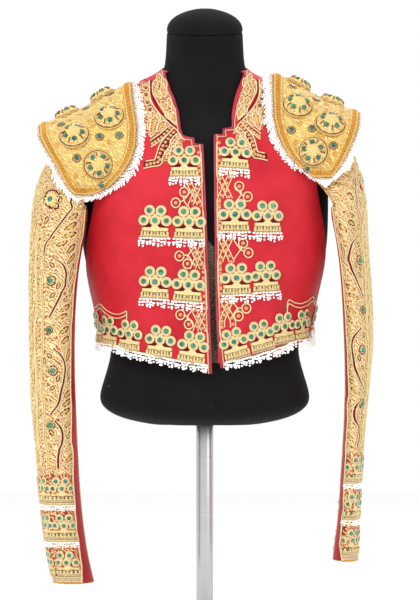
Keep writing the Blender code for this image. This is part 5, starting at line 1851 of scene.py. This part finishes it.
@dataclass
class Epaulet:
    """Stiff padded plate over a shoulder, with its border, domes, flowers and bead fringe.

    Args:
        side: which shoulder.
        centre: height of the middle that its arcs turn about.
        outline: angle round the shoulder, inner and outer distance from the middle of the body.
        domes: share across, share from the top to the tip and radius of each dome of a half.
        flowers: share across and share from the top to the tip of each flower of a half.
        model: dome with a radius of DOME_RADIUS.
        rise: height of that dome.
        tree: search tree of the solid plate.
        top: grid of places on the plate, from the back tip to the front tip.
        out: way out of the plate at each.
    """

    side: Side
    centre: float
    outline: Sequence[tuple[float, float, float]]
    domes: Sequence[tuple[float, float, float]]
    flowers: Sequence[Point]
    model: Motif
    rise: float = DOME_RISE
    tree: BVHTree = field(init=False)
    top: np.ndarray = field(init=False)
    out: np.ndarray = field(init=False)

    def edges_at(self, degrees: float) -> Point:
        """Inner and outer distance of the plate's edges at an angle."""
        table = np.array(self.outline)
        return (float(np.interp(abs(degrees), table[:, 0], table[:, 1])),
                float(np.interp(abs(degrees), table[:, 0], table[:, 2])))

    def middle_y(self, x: float) -> float:
        """Depth of the shoulder's middle line, further forward over the arm."""
        return 6.0 - 0.22 * max(0.0, min(x, 225.0) - 125.0)

    def build(self) -> None:
        """Builds the plate and everything on it."""
        word = self.side.word
        self.tree = tree_of([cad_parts["epaulet_" + word]])
        self.plate()
        self.fringe()

    def under(self, x: float, degrees: float) -> tuple[Vector, Vector]:
        """Place on the plate's underside and the way out, for a distance and an angle."""
        psi = math.radians(degrees)
        way = Vector((0.0, -math.sin(psi), math.cos(psi)))
        start = Vector((self.side.value * x, self.middle_y(x), self.centre)) * MM
        hit = self.tree.ray_cast(start, way, 0.3)
        if hit[0] is None:
            return start + way * 0.09, way
        return hit[0], way

    def plate(self) -> None:
        """Padded plate, its cords, domes and flowers."""
        word = self.side.word
        tip = self.outline[-1][0]
        rows, columns = PLATE_ROWS, PLATE_COLUMNS
        inset = 0.6
        grid = np.zeros((rows, columns, 3))
        for i, degrees in enumerate(np.linspace(-tip, tip, rows)):
            inner, outer = self.edges_at(degrees)
            for j in range(columns):
                x = inner + inset + (outer - inner - 2 * inset) * j / (columns - 1)
                grid[i, j] = self.under(x, degrees * 0.995)[0]
        for _ in range(6):
            beside = grid[:-2, 1:-1] + grid[2:, 1:-1] + grid[1:-1, :-2] + grid[1:-1, 2:]
            grid[1:-1, 1:-1] = grid[1:-1, 1:-1] * 0.5 + beside * 0.125
        across, along = np.gradient(grid, axis=1), np.gradient(grid, axis=0)
        out = np.cross(across, along)
        out /= np.linalg.norm(out, axis=2, keepdims=True)
        if out[rows // 2, columns // 2, 2] < 0:
            out = -out
        u = np.linspace(0, 1, columns)[None, :]
        v = np.linspace(0, 1, rows)[:, None]
        rim = np.minimum(np.minimum(u, 1 - u) * 90.0, np.minimum(v, 1 - v) * 300.0)
        pad = 3.6 + 1.6 * np.clip(rim / 14.0, 0, 1) ** 0.7
        top = grid + out * pad[..., None] * MM
        bottom = grid + out * 0.3 * MM
        count = rows * columns
        faces: list = []
        for a in (i * columns + j for i in range(rows - 1) for j in range(columns - 1)):
            b, c, d = a + 1, a + columns + 1, a + columns
            faces += [(a, b, c, d), (a + count, d + count, c + count, b + count)]
        rim_loop = list(range(columns)) + [i * columns + columns - 1 for i in range(1, rows)]
        rim_loop += [(rows - 1) * columns + j for j in range(columns - 2, -1, -1)]
        rim_loop += [i * columns for i in range(rows - 2, 0, -1)]
        for k, a in enumerate(rim_loop):
            b = rim_loop[(k + 1) % len(rim_loop)]
            faces.append((b, a, a + count, b + count))
        box = Workbox("epaulet_plate_" + word, "gold_epaulet")
        box.solid(np.vstack((top.reshape(-1, 3), bottom.reshape(-1, 3))), faces, EPAULET_GOLD)
        plates = box.finish(["epaulet_" + word])
        LOG.info("plate %s made as %s", word, plates[0].name)
        self.top = top
        self.out = out
        self.work()

    def on_top(self, u: float, v: float, lift: float = 0.0) -> tuple[np.ndarray, np.ndarray]:
        """Place and way out on the plate for a share across and a share along it."""
        r = min(max(v, 0.0), 0.9999) * (PLATE_ROWS - 1)
        c = min(max(u, 0.0), 0.9999) * (PLATE_COLUMNS - 1)
        i, j = int(r), int(c)
        a, b = r - i, c - j
        found = []
        for grid in (self.top, self.out):
            found.append(grid[i, j] * (1 - a) * (1 - b) + grid[i + 1, j] * a * (1 - b)
                         + grid[i, j + 1] * (1 - a) * b + grid[i + 1, j + 1] * a * b)
        normal = found[1] / np.linalg.norm(found[1])
        return found[0] + normal * lift * MM, normal

    def stand(self, u: float, v: float, lift: float = 0.0, turn: float = 0.0) -> Matrix:
        """Matrix for a motif that stands on the plate."""
        place, normal = self.on_top(u, v, lift)
        beside, _ = self.on_top(u + 0.02 if u < 0.95 else u - 0.02, v)
        out = Vector(normal)
        side = Vector(beside - place)
        side = (side - out * side.dot(out)).normalized()
        up = out.cross(side)
        basis = Matrix((side, up, out)).transposed().to_4x4()
        return Matrix.Translation(Vector(place)) @ basis @ Matrix.Rotation(turn, 4, "Z")

    def rim_path(self, inset: float, count: int = 150) -> list[Point]:
        """Shares across and along of a line round the plate, an inset in millimetres from its edge."""
        points: list[Point] = []
        tip = self.outline[-1][0]
        for k in range(count):
            share = -1.0 + 2.0 * k / (count - 1)
            points.append((0.0, 0.5 + 0.5 * share))
        for k in range(1, 12):
            points.append((k / 12.0, 1.0))
        for k in range(count):
            share = 1.0 - 2.0 * k / (count - 1)
            points.append((1.0, 0.5 + 0.5 * share))
        for k in range(1, 12):
            points.append((1.0 - k / 12.0, 0.0))
        found = []
        length = tip * 2 * 1.6
        for u, v in points:
            inner, outer = self.edges_at((2 * v - 1) * tip)
            wide = max(outer - inner, 8.0)
            du = min(inset / wide, 0.45)
            dv = inset / length
            found.append((min(max(u, du), 1 - du), min(max(v, dv), 1 - dv)))
        return found

    def work(self) -> None:
        """Border braid, cords, domes, flowers and curls."""
        word = self.side.word
        box = Workbox("epaulet_work_" + word, "gold_epaulet")
        for inset, size, finish in ((0.6, 1.5, BRIGHT_GOLD), (8.6, 1.1, EPAULET_GOLD),
                                    (10.6, 0.8, BRIGHT_GOLD)):
            path = self.rim_path(inset)
            points = np.array([self.on_top(u, v, 0.5)[0] for u, v in path + path[:1]])
            box.cord(points, size, finish)
        self.braid(box)
        spots = []
        for across, along, radius in self.domes:
            for v in self.both_halves(along):
                spots.append((across, v, radius))
                self.dome(box, across, v, radius)
        for across, along in self.flowers:
            for v in self.both_halves(along):
                spots.append((across, v, 7.0))
                self.flower(box, across, v)
        self.curls(box, spots)
        box.finish()

    def both_halves(self, along: float) -> list[float]:
        """Shares along the plate of a place on the front half and of the same place on the back half."""
        return [0.5 + 0.5 * way * along for way in ((1, -1) if along else (1,))]

    def braid(self, box: Workbox) -> None:
        """Ribs of thread across the darker border."""
        outer = self.rim_path(1.6, 110)
        inner = self.rim_path(7.6, 110)
        for (a, b), (c, d) in zip(outer, inner):
            points = [self.on_top(a + (c - a) * t, b + (d - b) * t, 0.25 + 0.5 * math.sin(math.pi * t))[0]
                      for t in (0.0, 0.33, 0.67, 1.0)]
            box.cord(np.array(points), 1.25, BORDER_GOLD)

    def dome(self, box: Workbox, across: float, v: float, radius: float) -> None:
        """Padded dome with ring cords and stones in small white rings."""
        pose = self.stand(across, v, -1.2)
        share = radius / DOME_RADIUS

        def spot(reach: float, turn: float, up: float) -> Vector:
            """Place on or over the dome, by share of its radius, turn and height in millimetres."""
            out = radius * reach * MM
            return pose @ Vector((out * math.cos(turn), out * math.sin(turn), up * MM))

        box.copy(self.model, pose @ Matrix.Scale(share, 4), DOME_GOLD)
        for size, lift, thick, finish in ((1.10, 1.6, 1.4, BRIGHT_GOLD), (1.02, 2.2, 0.9, DARK_THREAD),
                                          (0.95, 4.4, 0.9, LIGHT_GOLD)):
            path = [spot(size, t, lift) for t in np.linspace(0, 2 * math.pi, 31)]
            box.cord(np.array(path), thick, finish, True)
        for k in range(5):
            turn = 2 * math.pi * (k + 0.3) / 5
            place = spot(0.66, turn, self.rise * 0.7 * share + 1.4)
            lean = (place - pose @ Vector((0, 0, -0.010))).normalized()
            facing = lean.to_track_quat("Z", "Y").to_matrix().to_4x4()
            seat = Matrix.Translation(place - lean * 0.0012) @ facing
            box.copy(STONE, seat @ Matrix.Scale(0.92, 4), DARK_STONE)
            ring = seat @ Matrix.Scale(0.95, 4) @ Matrix.Translation((0, 0, 0.3 * MM))
            box.copy(STONE_RING, ring, BRIGHT_GOLD)
        # Radial dashes mark the slots between the lobes; the dark ones are painted shade in those slots.
        for k in range(10):
            turn = 2 * math.pi * (k + 0.45 + 0.3 * (k % 2)) / 10
            path = [spot(math.sin(t), turn, self.rise * share * math.cos(t) + 0.35)
                    for t in (0.62, 0.85, 1.08)]
            box.cord(np.array(path), 0.95 if k % 3 else 1.3, DARK_THREAD if k % 2 else BORDER_GOLD, True)

    def flower(self, box: Workbox, across: float, v: float) -> None:
        """Dark stone in a ring of beads, on a brown edge."""
        pose = self.stand(across, v, 0.4)
        box.copy(STONE, pose @ Matrix.Scale(0.85, 4), DARK_STONE)
        box.copy(STONE_RING, pose @ Matrix.Scale(1.0, 4), BEIGE_CORD)
        box.copy(STONE_RING, pose @ Matrix.Scale(1.75, 4), DARK_THREAD)
        for k in range(9):
            turn = 2 * math.pi * k / 9
            shift = (4.5 * MM * math.cos(turn), 4.5 * MM * math.sin(turn), 0.5 * MM)
            place = pose @ Matrix.Translation(shift)
            box.scaled(BEAD, place, 0.95, BEIGE_CORD)

    def curls(self, box: Workbox, spots: list) -> None:
        """Small curls of thread packed over the plate between its domes and flowers."""
        tip = self.outline[-1][0]
        index = 0
        middles = [(self.on_top(u, v)[0], r) for u, v, r in spots]
        for i in range(38):
            v = 0.035 + 0.93 * i / 37
            inner, outer = self.edges_at((2 * v - 1) * tip)
            wide = outer - inner
            count = int((wide - 24.0) / 8.6)
            for j in range(count):
                index += 1
                u = (13.5 + (wide - 27.0) * (j + (0.5 if i % 2 else 0.0)) / max(count - 0.5, 1)) / wide
                place, _ = self.on_top(u, v)
                if any(np.linalg.norm(place - spot) < (r + 4.2) * MM for spot, r in middles):
                    continue
                pose = self.stand(u, v, 0.35, index * 2.4)
                points = [pose @ Vector((a * MM, b * MM, 0.0)) for a, b in curl_path(4.4, 1.25, 0.0, 1, 9)]
                box.cord(np.array(points), 1.0, LIGHT_GOLD if index % 4 else BRIGHT_GOLD, True)

    def fringe(self) -> None:
        """Looped beige cord all round and, beyond it, thick loops of white beads."""
        word = self.side.word
        box = Workbox("epaulet_beads_" + word, "white_beads")
        path = self.rim_path(0.0, 92)
        loops = []
        for index, (u, v) in enumerate(path):
            place, normal = self.on_top(u, v, -2.2)
            inner, _ = self.on_top(u + (0.5 - u) * 0.12, v + (0.5 - v) * 0.05, -2.2)
            away = Vector(place - inner)
            out = Vector(normal)
            away = (away - out * away.dot(out)).normalized()
            along = out.cross(away)
            over_arm = u > 0.9 and abs(v - 0.5) < 0.40
            length = (7.0 if over_arm else 12.0) * (0.78 + 0.3 * math.sin(index * 2.7) ** 2)

            def spot(reach: float, side: float, up: float) -> Vector:
                """Place beyond the edge, by reach, shift along it and height, in millimetres."""
                return Vector(place) + (away * reach + along * side + out * (up - reach * reach / 36.0)) * MM

            loops += [spot(0.2, -1.2, 0.4), spot(4.8, -1.0, 0.8), spot(5.2, 0.6, 0.8), spot(0.2, 0.8, 0.4)]
            box.scaled(BEAD, Matrix.Translation(spot(2.6, 1.9, 0.7)), 1.0, BORDER_GOLD)
            for layer in (0, 1):
                lean = 1.1 * math.sin(index * 1.9 + layer * 2.2)
                beads = max(3, int(length / 2.2))
                for k in range(beads * 2 - 1):
                    share = k / (beads * 2 - 2)
                    reach = 4.2 + length * (1.0 - abs(2 * share - 1.0) ** 1.1) * (1.0 - 0.18 * layer)
                    side = 1.5 * math.cos(math.pi * share) + lean * math.sin(math.pi * share) + layer * 1.7
                    size = 1.38 + 0.14 * math.sin(k * 4.0 + index)
                    place_now = spot(reach, side, 0.5 * math.sin(index * 3.1 + k * 2.0) - 1.3 * layer)
                    box.scaled(BEAD, Matrix.Translation(place_now), size, WHITE_BEADS)
        box.cord(np.array(loops), 0.95, BEIGE_CORD, True)
        box.finish(["epaulet_fringe_" + word])


def lining_strip() -> None:
    """Mottled lining of the inside, where it shows between the open fronts."""
    sample = seen_from_front(tree_of([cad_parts["dress_form"]]), 0.6)
    flat = Patch(Lay.sampled(sample, np.arange(-10.0, 31.0, 2.5), np.arange(370.0, 570.0, 4.0)), 0.0, 0.0)
    rows = (242.0, 250.0, 265.0, 285.0, 305.0, 325.0, 345.0, 362.0)
    left = [photo_mm(204.5 + 0.03 * (row - 242.0), row) for row in rows]
    right = [photo_mm((215.0 if row > 245.0 else 209.0) + 0.036 * (row - 242.0), row) for row in rows]
    box = Workbox("inner_lining", "red_satin")
    box.panel(flat, left, right, 1.0, LINING, 6)
    box.finish()


@dataclass
class BackWork:
    """Needlework of the back: two rows of clusters, a row along the hem and a corded seam.

    Args:
        rows: name and height of each row of clusters.
        reach: distance between the clusters of a row.
    """

    rows: Sequence[tuple[str, float]] = (("upper", 590.0), ("lower", 512.0))
    reach: float = 74.0

    def build(self, back: Lay) -> None:
        """Sews the back on a lay whose arc is nought at its middle."""
        box = Workbox("back_tassels")
        cluster = TasselCluster()
        names = []
        for word, height in self.rows:
            for number in (-1, 0, 1):
                cluster.lay(box, Patch(back, number * self.reach, height), 5 * number + int(height))
                names.append(f"tassel_back_{word}_{number + 2}")
        hem_cluster = TasselCluster(tall=16.0, loops=9)
        for number in range(-4, 5):
            arc = number * 41.0
            height = 457.0 + abs(number) * 2.2
            hem_cluster.lay(box, Patch(back, arc, height), number + 60)
        box.finish(names + ["hem_trim_back"])
        cords = Workbox("back_cords")
        heights = np.arange(470.0, 764.0, 4.0)
        for shift in (-1.6, 1.6):
            cords.cord(back.wear(np.full(len(heights), shift), heights, 0.7), 0.9, ROSE_CORD)
        for hand in (1, -1):
            for way in (5.6, -5.6):
                path = [(hand * (9.0 + way * math.sin(math.pi * z / 17.0)), z)
                        for z in np.arange(470.0, 764.0, 2.4)]
                cords.cord(back.along(path, 0.9), 0.8, PALE_CORD)
            for k in range(34):
                cords.scaled(STUD, back.pose(hand * 9.0, 474.5 + 8.5 * k, 0.0, 0.2), 2.4, STUD_GOLD)
        cords.finish()


RIGHT_FRONT = FrontWork(
    Side.RIGHT,
    clusters=((184.2, 162, 0, 0.98), (155.6, 221.4, -2, 1), (188.9, 222.7, -2, 1),
              (155.6, 281.8, -3, 1), (188.6, 284.8, -4, 1), (193, 345.2, -9, 0.95),
              (160.6, 339.4, -6, 0.95), (129.9, 333.6, -6, 0.92), (108.6, 329.4, -4, 0.92),
              (97, 325, -3, 0.9)),
    edge=((202.2, 146), (203.6, 175), (204.6, 200), (206.5, 250), (208.6, 310), (210.8, 373)),
    neck=((163.6, 67.6), (165.2, 76), (166.4, 83.5), (173.4, 98), (177.7, 112), (179.9, 129.4),
          (182.6, 138.2), (193.2, 139.4), (194, 145.6), (202.2, 146)),
    loops=(((184.4, 193.4), (176, 204), (184, 201.5)), ((179.7, 256.5), (187.6, 264.2), (188, 256)),
           ((180.6, 314.6), (188.9, 324), (187.5, 316.5))),
    crossings=(196, 258.5, 321),
    hem=((93, 336.4), (97, 339), (101, 341.4), (112, 345.8), (124, 349.6), (137, 352.8),
         (150, 355.6), (165, 358.6), (180, 361.6), (193, 363.6), (206.5, 365.4)),
    hem_cord=((93, 308), (96.5, 306.5), (100, 304), (106, 309.5), (112, 313), (118, 314.2),
              (124, 312.6), (127, 311), (127.2, 318.5)),
    tab_shadow=((128.6, 309.5), (128.8, 314.5), (128.4, 320)))

LEFT_FRONT = FrontWork(
    Side.LEFT,
    clusters=((235, 153.8, -4, 0.98), (234.2, 215.5, 0, 1), (266.3, 216.7, 0, 0.98),
              (235.5, 278.2, 2, 0.98), (264.8, 275.7, 4, 0.95), (232.9, 341.4, 16, 0.9),
              (259.3, 333.7, 14, 0.9), (282.9, 326, 8, 0.9), (302, 322.9, 6, 0.9),
              (314.6, 318, 4, 0.88)),
    edge=((214.6, 136), (214.7, 165), (215, 200), (216, 280), (217.6, 330), (221.2, 367.2)),
    neck=((245, 67.6), (243.6, 76), (242.6, 83.5), (237, 98), (234, 110), (232.5, 120.7),
          (232.3, 129.2), (223, 129.6), (223.8, 135.8), (214.6, 136)),
    loops=(((238.6, 187.7), (246.9, 197.9), (240.5, 195.5)), ((242.4, 243.8), (247.6, 253.3), (240, 250)),
           ((245.6, 308.2), (238, 315.8), (237, 308.5))),
    crossings=(189, 249, 309),
    hem=((316, 330), (312, 333.4), (308, 336.6), (298, 341.2), (286, 346), (272, 351),
         (258, 355.4), (246, 358.8), (233, 361.6), (225, 362.6)),
    hem_cord=((319, 302.5), (315.4, 301.4), (312.4, 296.8), (308, 300.4), (304.7, 302), (300, 303.6),
              (294, 302.6), (287.6, 299.9), (286.2, 308)),
    tab_shadow=((285.3, 296.8), (284.6, 303), (283.3, 311.6)))

RIGHT_OUTLINE = ((0, 100, 222), (30, 98, 223), (58, 92, 221), (74, 93, 212),
                 (86, 99, 202), (97, 112, 193), (106, 130, 185), (112, 148, 176))
LEFT_OUTLINE = ((0, 93, 208), (30, 93, 208), (55, 94, 206), (70, 99, 201),
                (80, 106, 195), (90, 117, 188), (98, 132, 180), (105, 146, 171))
RIGHT_DOMES = ((0.30, 0, 18), (0.70, 0, 18), (0.26, 0.42, 19), (0.65, 0.55, 19), (0.42, 0.79, 18.5))
LEFT_DOMES = ((0.28, 0, 18), (0.68, 0, 18), (0.27, 0.42, 19), (0.67, 0.56, 19), (0.44, 0.81, 18.5))
RIGHT_FLOWERS = ((0.21, 0.12), (0.49, 0.18), (0.77, 0.36), (0.39, 0.58), (0.17, 0.58), (0.69, 0.74),
                 (0.13, 0.94))
LEFT_FLOWERS = ((0.21, 0.18), (0.49, 0.24), (0.17, 0.64), (0.45, 0.62), (0.75, 0.76), (0.10, 0.94))


def main() -> None:
    """Builds the stage, the stand and every part of the jacket, and reports each."""
    logging.basicConfig(level=logging.INFO, format="%(message)s")
    StudioStage().build()
    LOG.info("stage ready")
    FormStand().build()
    body = SatinBody()
    body.build()
    front = body.front_lay()
    around = body.round_lay(0.0)
    for work in (RIGHT_FRONT, LEFT_FRONT):
        work.build(front, around)
    lining_strip()
    BackWork().build(body.round_lay(math.pi))
    sleeves = [Sleeve(Side.RIGHT, 90.5), Sleeve(Side.LEFT, 118.0)]
    pattern = None
    for sleeve in sleeves:
        pattern = sleeve.build(pattern)
    dome = model_dome(DOME_RADIUS * MM, DOME_RISE * MM, 10)
    Epaulet(Side.RIGHT, 650.0, RIGHT_OUTLINE, RIGHT_DOMES, RIGHT_FLOWERS, dome).build()
    Epaulet(Side.LEFT, 662.0, LEFT_OUTLINE, LEFT_DOMES, LEFT_FLOWERS, dome).build()
    body.declare()
    for sleeve in sleeves:
        sleeve.declare()


if __name__ == "__main__":
    main()
